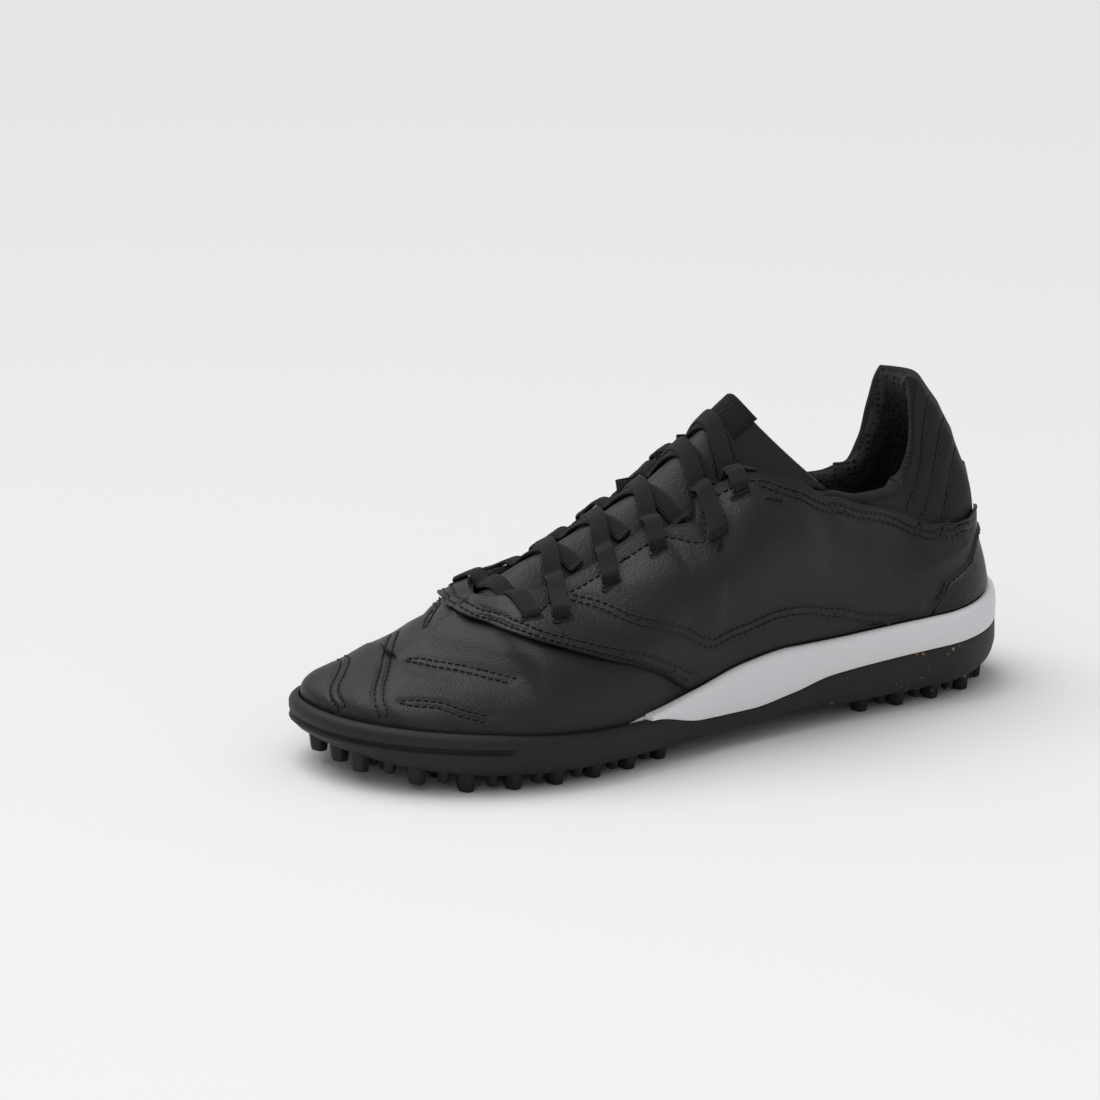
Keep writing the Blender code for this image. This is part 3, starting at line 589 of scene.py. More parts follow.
# Stitched lines on the outer face. Points are share and place across: -1 is the outer side's feather
# line, 0 the ridge or the top edge, and the loop below mirrors them to the inner side. A plan is in
# millimetres seen from above. Offsets are rows of stitches, in metres from the line, channel is how
# deep they sink, as a share of the full depth, and tip is where a leaf's two rows meet
seams = {
    "saddleFrontOuter": {
        "points": [
            (0.8065, -0.02), (0.800, -0.10), (0.793, -0.18), (0.778, -0.265), (0.753, -0.35),
            (0.703, -0.51), (0.653, -0.67), (0.587, -0.88), (0.550, -0.985),
        ],
        "offsets": (0.0018, 0.0040),
        "channel": 0.7,
    },
    "quarterOuter": {
        "points": [
            (0.690, -0.10), (0.673, -0.18), (0.643, -0.37), (0.607, -0.52), (0.553, -0.71),
            (0.500, -0.84), (0.453, -0.86), (0.407, -0.84), (0.367, -0.83), (0.310, -0.86),
            (0.260, -0.93), (0.200, -0.99),
        ],
        "offsets": (-0.0011, 0.0011),
        "channel": 1.0,
    },
    "leafOuter": {
        "plan": [
            (-87.6, -1.0), (-86.2, -2.8), (-83.0, -8.5), (-79.3, -14.1), (-75.9, -19.0),
            (-72.6, -23.4), (-68.0, -28.6),
        ],
        "offsets": (-0.00105, 0.00105),
        "channel": 1.0,
        "tip": 0.0045,
    },
    "leafLowOuter": {
        "plan": [
            (-97.6, -14.6), (-96.9, -15.4), (-93.0, -19.2), (-89.4, -22.3), (-84.2, -28.1),
            (-78.5, -32.3),
        ],
        "offsets": (-0.00105, 0.00105),
        "channel": 1.0,
        "tip": 0.0045,
    },
    "toeFront": {
        "plan": [
            (-109.6, -1.6), (-108.9, 3.2), (-106.1, 8.3), (-102.4, 11.8), (-98.5, 16.2),
            (-95.0, 21.2), (-92.6, 26.0), (-91.0, 31.0),
        ],
        "offsets": (-0.0013, 0.0013),
        "channel": 1.0,
    },
    "toeBack": {
        "plan": [
            (-103.4, -14.6), (-101.6, -9.6), (-98.4, -4.6), (-94.4, 0.3), (-90.0, 6.2),
            (-85.6, 12.1), (-81.0, 18.2), (-76.6, 24.2),
        ],
        "offsets": (-0.0013, 0.0013),
        "channel": 1.0,
    },
    "vampInner": {
        "plan": [(-76.5, 8.0), (-72.5, 12.5), (-67.0, 18.5), (-61.5, 26.0), (-57.0, 34.0)],
        "offsets": (-0.00105, 0.00105),
        "channel": 1.0,
        "tip": 0.0045,
    },
    "quarterTopOuter": {
        "points": [
            (0.410, -0.01), (0.377, -0.04), (0.323, -0.045), (0.243, -0.095), (0.170, -0.215),
            (0.157, -0.25), (0.120, -0.34), (0.077, -0.44), (0.040, -0.63),
        ],
        "offsets": (-0.0018, -0.0038),
        "channel": 0.5,
    },
    "eyestayOuter": {
        "points": [
            (0.745, -0.16), (0.700, -0.075), (0.640, -0.07), (0.580, -0.075), (0.545, -0.085),
            (0.515, -0.13), (0.490, -0.06), (0.440, -0.045), (0.405, -0.045),
        ],
        "offsets": (0.0,),
        "channel": 0.4,
    },
    "quiltOuterLow": {
        "points": [(0.098, -0.50), (0.060, -0.43), (0.012, -0.39)],
        "offsets": (0.0,),
        "channel": 1.0,
    },
    "quiltOuterMiddle": {
        "points": [(0.148, -0.36), (0.100, -0.31), (0.055, -0.27), (0.010, -0.25)],
        "offsets": (0.0,),
        "channel": 1.0,
    },
    "quiltOuterHigh": {
        "points": [(0.140, -0.22), (0.100, -0.17), (0.055, -0.14), (0.010, -0.13)],
        "offsets": (0.0,),
        "channel": 1.0,
    },
    "counterOuter": {
        "points": [(0.002, -0.79), (0.033, -0.79), (0.077, -0.797), (0.120, -0.825), (0.150, -0.925)],
        "offsets": (-0.0014,),
        "channel": 0.4,
    },
}
for name in [name for name in seams if "points" in seams[name]]:
    seams[name.replace("Outer", "Inner")] = {
        "points": [(share, -place) for share, place in seams[name]["points"]],
        "offsets": tuple(-offset for offset in seams[name]["offsets"]),
        "channel": seams[name]["channel"],
    }


def curvePoints(points, count=200):
    # Smooth run through share and place points, measured in millimetres
    p = np.array(points, float)
    span = (shell["shareSpan"], shell["placeSpan"])
    run = np.concatenate([[0], np.cumsum(np.hypot(*(np.diff(p, axis=0) * span).T))])
    rows = {"share": run, "s": p[:, 0], "v": p[:, 1]}
    t = np.linspace(0, run[-1], count)
    return column(rows, "s", t), column(rows, "v", t)


def faceAt(share, place):
    # Points of the outer face and the outward directions there
    inner = (place > 0)[:, None]
    rise = 1 - np.abs(place)
    flat = np.zeros_like(share)
    point = np.where(inner, skin(share, 1, rise, flat), skin(share, -1, rise, flat))
    return point, np.where(inner, upperNormal(share, 1, rise), upperNormal(share, -1, rise))


def formTree():
    # Bare outer form, for what is given in plan
    share = spaced(0.0, 1.0, 0.002)
    rise = np.linspace(0, 1, 60)
    points, faces = [], []
    for side in (-1, 1):
        p = upperPoint(share[:, None], side, rise[None, :])
        base = sum(len(q) for q in points)
        n = len(rise)
        i = np.arange(len(share) * n).reshape(len(share), n) + base
        points.append(p.reshape(-1, 3))
        faces.append(np.stack([i[:-1, :-1], i[1:, :-1], i[1:, 1:], i[:-1, 1:]], -1).reshape(-1, 4))
    corners = [Vector(q) for q in np.vstack(points)]
    return BVHTree.FromPolygons(corners, [tuple(f) for f in np.vstack(faces).tolist()])


def fromPlan(tree, plan):
    # Run through plan points in millimetres, dropped on the form
    p = np.array(plan, float) / 1000
    length = lengths(p)
    t = np.linspace(0, length[-1], shell["seamPoints"])
    x, y = (column({"share": length, "v": p[:, i]}, "v", t) for i in (0, 1))
    centre, normal = [], []
    for spot in zip(x, y):
        hit = tree.ray_cast(Vector((*spot, shell["above"])), Vector((0, 0, -1)))
        if hit[0] is not None:
            centre.append(hit[0])
            normal.append(hit[1] if hit[1].z > 0 else -hit[1])
    centre, normal = np.array(centre), np.array(normal)
    for _ in range(shell["seamEasing"]):
        normal[1:-1] = (normal[:-2] + normal[1:-1] * 2 + normal[2:]) / 4
    return centre, normal / np.linalg.norm(normal, axis=1, keepdims=True)


def seamTracks(pitch=0.0005):
    # Dense lines in space for every row of stitches, with the outward direction along them
    found = []
    tree = formTree()
    for seam in seams.values():
        if "plan" in seam:
            centre, normal = fromPlan(tree, seam["plan"])
        else:
            share, place = curvePoints(seam["points"])
            centre, normal = faceAt(share, place)
        run = np.gradient(centre, axis=0)
        run /= np.linalg.norm(run, axis=1, keepdims=True)
        across = np.cross(normal, run)
        spread = np.sqrt(np.clip(lengths(centre) / seam["tip"], 0, 1)) if "tip" in seam else 1.0
        for offset in seam["offsets"]:
            line = centre + across * (offset * np.broadcast_to(spread, len(centre)))[:, None]
            length = lengths(line)
            t = np.arange(0, length[-1], pitch)
            dense, out = along(line, length, t), along(normal, length, t)
            found.append({"line": dense, "normal": out, "channel": seam["channel"]})
    return found


tracks = seamTracks()


def relief(co):
    # Height of the quilted leather over its flat form: channels along the stitches, soft rolls between
    near = np.full(len(co), 1.0)
    sunk = np.zeros(len(co))
    for track in tracks:
        line = track["line"]
        low, high = line.min(0) - shell["reliefReach"], line.max(0) + shell["reliefReach"]
        close = np.all((co > low) & (co < high), axis=1)
        if not close.any():
            continue
        d = distanceTo(co[close], line)
        near[close] = np.minimum(near[close], d)
        channel = track["channel"] * np.exp(-((d / shell["channelWidth"]) ** 2))
        sunk[close] = np.maximum(sunk[close], channel)
    puff = 1 - np.exp(-((near / shell["puffReach"]) ** 2))
    return shell["puffHeight"] * (puff - 1) - shell["channelDepth"] * sunk


def sectionLength(share, side):
    rise = np.linspace(0, 1, 24)
    p = upperPoint(share[:, None], side, rise[None, :])
    return np.linalg.norm(np.diff(p, axis=1), axis=2).sum(1)


def wallAt(share, rise):
    full, low = column(paddingTable, "full", share), column(paddingTable, "low", share)
    return shoe["wall"] + shoe["collarPadding"] * full * smoothstep((rise - low) / (0.80 - low))


def edgeRound(share, side, rise):
    # How far the outer face turns in towards the middle of the wall at the top edge
    share, rise = np.broadcast_arrays(share, rise)
    wall = wallAt(share, np.ones_like(rise))
    length = np.interp(share, roundShares, roundLengths[side])
    band = wall / 2 / length
    x = np.clip((rise - 1 + band) / band, 0, 1)
    open_ = share <= shoe["throatBase"] + 1e-9
    return np.where(open_, wall / 2 * (1 - np.sqrt(1 - x * x)), 0.0)


roundShares = np.linspace(0, 1, 200)
roundLengths = {side: sectionLength(roundShares, side) for side in (-1, 1)}


def shellRises(share, side):
    # Rows up a section: even, then close together round the top edge
    band = wallAt(share, np.ones_like(share)) / 2 / np.interp(share, roundShares, roundLengths[side])
    rows = max(12, int(shell["rows"] * fineness))
    turn = max(4, int(shell["roundRows"] * fineness))
    low = np.linspace(0, 1, rows)[None, :] * (1 - band)[:, None]
    high = 1 - band[:, None] * (1 - np.sin(np.linspace(0, np.pi / 2, turn + 1)[1:]))[None, :]
    return np.hstack([low, high])


def shellPart(name, low, high):
    parts = []
    shares = spaced(low, high, shell["spacing"])
    if low < shoe["throatBase"] < high:
        shares[np.argmin(np.abs(shares - shoe["throatBase"]))] = shoe["throatBase"]
    for side in (-1, 1):
        rise = shellRises(shares, side)
        grid = np.broadcast_to(shares[:, None], rise.shape)
        turned = edgeRound(grid, side, rise)
        base = skin(grid, side, rise, np.zeros_like(rise))
        outer = skin(grid, side, rise, relief(base.reshape(-1, 3)).reshape(rise.shape) - turned)
        wall = wallAt(grid, rise)
        topWall = np.broadcast_to(wallAt(shares, np.ones_like(shares))[:, None], rise.shape)
        inner = skin(grid, side, rise, -wall + turned * (wall / topWall))
        x, y, _, _ = outlinePoint(shares, side, shoe["rimWidth"] + shoe["clearance"])
        foot = np.stack([x, y, soleLevel("bed", shares) + shoe["clearance"]], -1)[:, None]
        x, y, _, _ = outlinePoint(shares, side, shoe["rimWidth"] + shoe["clearance"] + shoe["wall"])
        footIn = np.stack([x, y, soleLevel("bed", shares) + shoe["clearance"]], -1)[:, None]
        inner = settled(inner, middleLine(shares), side)
        outside = np.concatenate([foot, outer], 1)
        inside = np.concatenate([footIn, inner], 1)
        for points, face in ((outside, 1), (inside, -1), (np.concatenate([foot, footIn], 1), -1)):
            sheet = gridMesh(name, points)
            # How far below the top edge each vertex lies, less than nothing on the inner face
            run = gridLengths(points, 1)
            below = run[:, -1:] - run if face > 0 else np.full(run.shape, -0.01)
            stamp(sheet, "belowEdge", below.ravel())
            parts.append(sheet)
        for end, share in ((0, low), (-1, high)):
            if 0 < share < 1:
                parts.append(gridMesh(name, np.stack([outside[end], inside[end]])))
    return weld(joinAll(name, parts))


def settled(inner, middle, side):
    # Inner face smoothed a little, kept on its own side of the middle line
    found = inner.copy()
    for _ in range(10):
        found[1:-1, 1:-1] = 0.5 * found[1:-1, 1:-1] + 0.125 * (
            found[:-2, 1:-1] + found[2:, 1:-1] + found[1:-1, :-2] + found[1:-1, 2:]
        )
    y = found[:, :-1, 1]
    found[:, :-1, 1] = np.where(side > 0, np.maximum(y, middle[:, None]), np.minimum(y, middle[:, None]))
    return found


vamp = shellPart("vamp", shell["joint"], 1.0)
collar = shellPart("collar", 0.0, shell["joint"])
print("stage: vamp and collar")


# Panels that lie on the shell

panel = {
    "rows": 60,
    "spacing": 0.0011,
    "edge": 0.0006,
    "reliefEdge": 0.001,
    "edgeCrowding": 0.5,
    "under": 0.0001,
}


def panelMesh(name, columns, thickness, rows):
    # columns holds share, side, lowest and highest rise
    columns = np.array(columns, float)
    share, side, low, high = columns.T
    n = max(8, int(rows * fineness))
    t = crowded(n, panel["edgeCrowding"])
    rise = low[:, None] + (high - low)[:, None] * t[None, :]
    grid = np.broadcast_to(share[:, None], rise.shape)
    base, turned = np.zeros(rise.shape + (3,)), np.zeros(rise.shape)
    for s in (-1, 1):
        mine = side == s
        base[mine] = skin(grid[mine], s, rise[mine], np.zeros_like(rise[mine]))
        turned[mine] = edgeRound(grid[mine], s, rise[mine])
    length = gridLengths(base, 1)
    fromEdge = np.minimum(length, length[:, -1:] - length)
    ridge = (share >= shoe["throatBase"])[:, None] & (high >= 1)[:, None]
    fromEdge = np.where(ridge, length, fromEdge)
    run = lengths(base[:, 0])
    fromEdge = np.minimum(fromEdge, np.minimum(run, run[-1] - run)[:, None])
    full = np.clip(fromEdge / panel["edge"], 0, 1)
    top = shoe["overlayGap"] * 0.3 + thickness * np.sqrt(1 - (1 - full) ** 2)
    raised = relief(base.reshape(-1, 3)).reshape(rise.shape)
    top = top + raised * np.clip(fromEdge / panel["reliefEdge"], 0, 1) - turned
    under = -panel["under"] - turned
    points = []
    for lift in (top, under):
        made = np.zeros(rise.shape + (3,))
        for s in (-1, 1):
            mine = side == s
            made[mine] = skin(grid[mine], s, rise[mine], lift[mine])
        points.append(made)
    top, under = points
    under[0], under[-1], under[:, 0] = top[0], top[-1], top[:, 0]
    under[:, -1] = np.where(ridge, under[:, -1], top[:, -1])
    parts = [gridMesh(name, top), gridMesh(name, under)]
    return weld(joinAll(name, parts))


def saddleColumns():
    shares = spaced(0.010, 0.8065, panel["spacing"])
    shares[np.argmin(np.abs(shares - shoe["throatBase"]))] = shoe["throatBase"]
    low, high = column(saddleTable, "lower", shares), column(saddleTable, "upper", shares)
    outer = [(s, -1, a, b) for s, a, b in zip(shares, low, high)]
    inner = [(s, 1, a, b) for s, a, b in zip(shares, low, high)]
    return outer, inner[::-1]


saddleHalves = [panelMesh("saddle", half, shoe["overlay"], panel["rows"]) for half in saddleColumns()]
saddle = weld(joinAll("saddle", saddleHalves))
print("stage: saddle")


# Sole: rubber cup with lugs, white midsole, footbed

sole = {
    "spacing": 0.0013,
    "bedReach": 0.012,
    "tipStep": 0.0012,
    "grooveDepth": 0.0011,
    "grooveHeight": 0.0010,
    "beadHeight": 0.0044,
    "grooveStart": 0.815,
    "sideHeight": 0.019,
    "tuck": 0.0016,
    "toeTuck": 0.0022,
    "toeTuckStart": 0.86,
    "ladder": 9,
    # Share of the tuck and height over the sole's base
    "underEdge": [(3.0, 0.0), (1.9, 0.00015), (1.2, 0.0008), (0.65, 0.0018), (0.30, 0.0030)],
    # Share of the groove's depth, and height from its top as a share of its height
    "groove": [(0.12, -1.5), (0.75, -1.15), (1.0, -0.8), (1.0, -0.4), (0.75, -0.05), (0.12, 0.3)],
    # Inset, more inset ahead of the midsole, and height from the rim's top
    "rim": [
        (0.00005, 0.0003, -0.0012), (0.0001, 0.0009, -0.0005),
        (0.0002, 0.0014, -0.0001), (0.0004, 0.0019, 0.0),
    ],
    # Inset of the midsole's face and share of its height
    "midsoleFace": [
        (0.0002, 0.02), (0.0, 0.07), (-0.0001, 0.25), (-0.0002, 0.50), (0.0, 0.75), (0.0003, 0.88),
        (0.0008, 0.955), (0.0014, 0.988), (0.0021, 1.0), (0.0028, 0.998),
    ],
    "insoleThickness": 0.0032,
    "insoleGap": 0.0012,
    "insoleSpacing": 0.0022,
    # Inset of the footbed's edge and drop from its top
    "insoleEdge": [(0.0, 0.0010), (0.0003, 0.0004), (0.0010, 0.0), (0.0030, 0.0002)],
    "smoothAngle": 38,
}


def soleLoop(shares, inset, height):
    # One closed ring round the sole, outer side first; heights follow each point's own share
    found = []
    for side in (-1, 1):
        deep = inset(shares)
        x, y, _, _ = outlinePoint(shares, side, deep)
        own = 0.5 - x / shoe["length"]
        rounded = (shares < shoe["heelRound"]) | (shares > 1 - shoe["toeRound"])
        own = np.where(rounded, own, shares)
        found.append(np.stack([x, y, height(own)], -1))
    return np.concatenate([found[0], found[1][::-1]])


def soleSolid(name, shares, rings):
    # Closed solid through rings, its first and last ring filled by a ladder between the two sides
    made = np.stack([soleLoop(shares, inset, height) for inset, height in rings], 1)
    parts = [gridMesh(name, made)]
    n = len(shares)
    for row in (0, -1):
        loop = made[:, row]
        outer, inner = loop[:n], loop[n:][::-1]
        t = np.linspace(0, 1, sole["ladder"])[None, :, None]
        parts.append(gridMesh(name, outer[:, None] * (1 - t) + inner[:, None] * t))
    return weld(joinAll(name, parts))


def always(value):
    return lambda s: np.full_like(s, value)


def soleHeight(name, lift=0.0):
    return lambda s: soleLevel(name, s) + lift


def makeOutsole():
    front = lambda s: smoothstep((s - shoe["midsoleTip"] + 0.02) / 0.03)
    depth = lambda s: sole["grooveDepth"] * smoothstep((s - sole["grooveStart"]) / 0.012)
    grooveTop = lambda s: soleLevel("side", s) * (1 - sole["beadHeight"] / sole["sideHeight"])
    toe = sole["toeTuckStart"]
    tuck = lambda s: sole["tuck"] + sole["toeTuck"] * np.maximum(0.0, (s - toe) / (1 - toe)) ** 2
    gh = sole["grooveHeight"]
    wall = lambda s: 0.5 * (soleLevel("base", s) + 0.003 + grooveTop(s) - 1.6 * gh)
    rings = [(always(sole["bedReach"]), soleHeight("base"))]
    for k, lift in sole["underEdge"]:
        rings.append((lambda s, k=k: k * tuck(s), soleHeight("base", lift)))
    rings += [
        (lambda s: 0.10 * tuck(s), wall),
        (always(0.0), lambda s: grooveTop(s) - 1.9 * gh),
    ]
    for k, rise in sole["groove"]:
        rings.append((lambda s, k=k: k * depth(s), lambda s, rise=rise: grooveTop(s) + rise * gh))
    rings += [
        (always(0.0), lambda s: grooveTop(s) + 0.8 * gh),
        (always(0.0), lambda s: 0.45 * grooveTop(s) + 0.55 * soleLevel("side", s)),
    ]
    for inset, more, lift in sole["rim"]:
        rings.append((lambda s, inset=inset, more=more: inset + more * front(s), soleHeight("side", lift)))
    rings += [
        (always(shoe["rimWidth"] - 0.0002), soleHeight("side")),
        (always(shoe["rimWidth"]), soleHeight("side", -0.0003)),
        (always(shoe["rimWidth"]), soleHeight("plate")),
        (always(sole["bedReach"]), soleHeight("plate")),
    ]
    return shadeSmooth(soleSolid("outsole", spaced(0.0, 1.0, sole["spacing"]), rings), sole["smoothAngle"])


def makeMidsole():
    inner = shoe["rimWidth"] + shoe["clearance"]
    tip, step, gap = shoe["midsoleTip"], sole["tipStep"], shoe["clearance"]
    shares = spaced(0.0, 1.0, sole["spacing"])
    clear = shares[np.abs(shares - tip - step) > 2.2 * step]
    shares = np.sort(np.concatenate([clear, [tip, tip + step, tip + 2 * step]]))
    covers = lambda s: s < tip + 0.5 * step
    stands = lambda s: s < tip + 1.5 * step
    bed = lambda s: soleLevel("bed", s)
    side = lambda value: lambda s: np.where(covers(s), value, np.where(stands(s), shoe["rimWidth"], inner))
    low = lambda s: np.where(stands(s), soleLevel("side", s) + 0.3 * gap, bed(s))
    tall = lambda s: soleLevel("cuff", s) - low(s)
    cuff = lambda k: lambda s: np.where(covers(s), low(s) + k * tall(s), bed(s))
    rings = [
        (always(sole["bedReach"]), soleHeight("plate", gap)),
        (always(inner), soleHeight("plate", gap)),
        (always(inner), low),
        (side(0.0007), low),
        *((side(inset), cuff(k)) for inset, k in sole["midsoleFace"]),
        (side(shoe["rimWidth"]), cuff(0.985)),
        (side(shoe["rimWidth"]), bed),
        (always(sole["bedReach"]), bed),
    ]
    return shadeSmooth(soleSolid("midsole", shares, rings), sole["smoothAngle"])


def makeInsole():
    inset = shoe["rimWidth"] + shoe["wall"] + sole["insoleGap"]
    middle = always(sole["bedReach"] + 0.002)
    low, high = shoe["clearance"], shoe["clearance"] + sole["insoleThickness"]
    rings = [
        (middle, soleHeight("bed", low)),
        (always(inset), soleHeight("bed", low)),
        *((always(inset + more), soleHeight("bed", high - drop)) for more, drop in sole["insoleEdge"]),
        (middle, soleHeight("bed", high - 0.0008)),
    ]
    shares = spaced(0.0, 1.0, sole["insoleSpacing"])
    return shadeSmooth(soleSolid("insole", shares, rings), sole["smoothAngle"])


# Lugs: share along the foot, how many across, and how far they spread; and small ones between
lugs = {
    "rows": [
        (0.048, 3, 0.58),
        (0.095, 4, 0.74),
        (0.150, 4, 0.76),
        (0.205, 4, 0.76),
        (0.260, 3, 0.72),
        (0.590, 4, 0.76),
        (0.645, 5, 0.80),
        (0.700, 5, 0.81),
        (0.755, 5, 0.82),
        (0.810, 5, 0.82),
        (0.865, 5, 0.80),
        (0.915, 4, 0.74),
        (0.958, 3, 0.46),
    ],
    "length": 0.0086,
    "width": 0.0062,
    "taper": 0.74,
    "root": 0.0016,
    "height": 0.0046,
    "flatUntil": 0.88,
    "bevel": 0.0005,
    "smallSize": 0.66,
    "smallLift": 0.0014,
    "smallSpread": 1.04,
    "furthestGap": 0.1,
}


def stud(share, y, size, lift):
    # Tapered six-sided stud with softened edges, sunk into the plate
    root = float(soleLevel("base", np.array(share))) + lugs["root"]
    foot = lift if share < lugs["flatUntil"] else root - lugs["root"] - lugs["height"] + lift
    bpy.ops.object.select_all(action="DESELECT")
    half = lugs["length"] / 2
    bpy.ops.mesh.primitive_cone_add(vertices=6, radius1=lugs["taper"] * half, radius2=half, depth=root - foot)
    made = bpy.context.object
    co = coords(made)
    turned = np.stack([-co[:, 1] * size * lugs["width"] / lugs["length"], co[:, 0] * size, co[:, 2]], 1)
    setCoords(made, turned + (float(alongShoe(share)), y, (root + foot) / 2))
    return applied(made, "BEVEL", width=lugs["bevel"], segments=2, limit_method="ANGLE")


def makeLugs():
    made = []
    rows = lugs["rows"]
    for share, count, span in rows:
        reach = float(halfWidth(np.array(share))) * span
        for i in range(count):
            y = float(middleLine(np.array(share))) + reach * (2 * i / (count - 1) - 1)
            made.append(stud(share, y, 1.0, 0.0))
    for (share, count, span), (after, _, nextSpan) in zip(rows, rows[1:]):
        if after - share > lugs["furthestGap"]:
            continue
        between = (share + after) / 2
        reach = float(halfWidth(np.array(between))) * (span + nextSpan) / 2 * lugs["smallSpread"]
        for i in range(count + 1):
            y = float(middleLine(np.array(between))) + reach * (2 * i / count - 1)
            made.append(stud(between, y, lugs["smallSize"], lugs["smallLift"]))
    return shadeSmooth(joinAll("lugs", made), sole["smoothAngle"])


outsole = makeOutsole()
midsole = makeMidsole()
insole = makeInsole()
lugSet = makeLugs()
print("stage: sole")


# Tongue: a padded sheet, and the folded label on its top end

tongueParts = {
    "rows": 90,
    "across": 44,
    "thickness": 0.0036,
    "curve": 1.6,
    "labelShares": (0.438, 0.3935),
    "labelHalf": 0.39,
    "labelLift": 0.0006,
    "labelThickness": 0.0011,
    "labelRows": 24,
    "edgeCrowding": 0.35,
}


def tonguePoint(share, across, lift):
    half = column(tongueTable, "half", share) * halfBall
    drop = column(tongueTable, "drop", share) * halfBall
    sweep = column(tongueTable, "sweep", share) * halfBall
    height = column(tongueTable, "height", share) * shoe["collarHeight"]
    x = alongShoe(share) + sweep * across * across
    y = middleLine(share) + half * across
    z = height - drop * np.abs(across) ** tongueParts["curve"]
    return np.stack(np.broadcast_arrays(x, y, z), -1) + np.asarray(lift)


def tongueFace(share, across):
    # Point and upward normal of the tongue's top face
    step = 0.002
    p = tonguePoint(share, across, 0)
    a = tonguePoint(share - step, across, 0) - tonguePoint(share + step, across, 0)
    b = tonguePoint(share, across + 0.01, 0) - tonguePoint(share, across - 0.01, 0)
    n = np.cross(a, b)
    n = n * np.where(n[..., 2:] < 0, -1, 1)
    return p, n / np.linalg.norm(n, axis=-1, keepdims=True)


def pillow(name, low, high, reach, thickness, rows, across, lift=0.0):
    # Closed pad between two shares of the tongue, its rim rounded all round
    s = low + (high - low) * crowded(rows, tongueParts["edgeCrowding"])
    u = reach * (2 * crowded(across, tongueParts["edgeCrowding"]) - 1)
    share, place = np.meshgrid(s, u, indexing="ij")
    p, n = tongueFace(share, place)
    length, run = gridLengths(p, 1), gridLengths(p, 0)
    edge = np.minimum(np.minimum(length, length[:, -1:] - length), np.minimum(run, run[-1:] - run))
    turn = np.clip(edge / (thickness / 2), 0, 1)
    half = thickness / 2 * np.sqrt(1 - (1 - turn) ** 2)
    top = p + n * (lift - thickness / 2 + half)[..., None]
    under = p + n * (lift - thickness / 2 - half)[..., None]
    return weld(joinAll(name, [gridMesh(name, top), gridMesh(name, under)]))


tongue = pillow(
    "tongue",
    tongueTable["share"].min(),
    tongueTable["share"].max(),
    1.0,
    tongueParts["thickness"],
    int(tongueParts["rows"] * fineness),
    int(tongueParts["across"] * fineness),
)
label = pillow(
    "tongueLabel",
    tongueParts["labelShares"][1],
    tongueParts["labelShares"][0],
    tongueParts["labelHalf"],
    tongueParts["labelThickness"],
    tongueParts["labelRows"],
    tongueParts["labelRows"],
    lift=tongueParts["labelLift"] + tongueParts["labelThickness"],
)
for piece in (tongue, label):
    shadeSmooth(piece, 50)
print("stage: tongue")


# Laces: a straight bar at the first pair of eyelets, then five crossings

lace = {
    "width": 0.0052,
    "thickness": 0.0013,
    "lift": 0.0001,
    "start": 0.013,
    "step": 0.0007,
    "reach": 0.0008,
    "ease": 0.0024,
    "turn": 0.0011,
    "shares": [0.747, 0.717, 0.643, 0.573, 0.500, 0.450, 0.410],
    "rises": [0.85, 0.79, 0.86, 0.87, 0.75, 0.91, 0.86],
    "dive": 0.0028,
    "over": 1.05,
    "rib": 0.00085,
    "sidePower": 0.55,
    "facePower": 0.65,
    "facets": 21,
    "turnSteps": 7,
    "diveSteps": 3,
    "insideEdge": 0.0016,
}
field = surfaceTree([tongue, vamp, collar, saddle])


def surfaceBelow(x, y):
    hit = field.ray_cast(Vector((x, y, 0.2)), Vector((0, 0, -1)))
    return hit[0].z if hit[0] is not None else 0.0


def underEdge(index, side):
    share = np.array(lace["shares"][index] + lace["start"])
    half = throatHalf(share) - lace["insideEdge"]
    return np.array([alongShoe(share), middleLine(share) + side * half]).ravel()


def eyeletPlace(index, side):
    share, rise = np.array([lace["shares"][index]]), np.array([lace["rises"][index]])
    return upperPoint(share, side, rise)[0], upperNormal(share, side, rise)[0]


def eased(values, window):
    # Smoothed run that keeps the slope at both ends
    kernel = np.hanning(2 * window + 3)[1:-1]
    kernel /= kernel.sum()
    before = 2 * values[0] - values[1 : window + 1][::-1]
    after = 2 * values[-1] - values[-window - 1 : -1][::-1]
    return np.convolve(np.concatenate([before, values, after]), kernel, mode="valid")


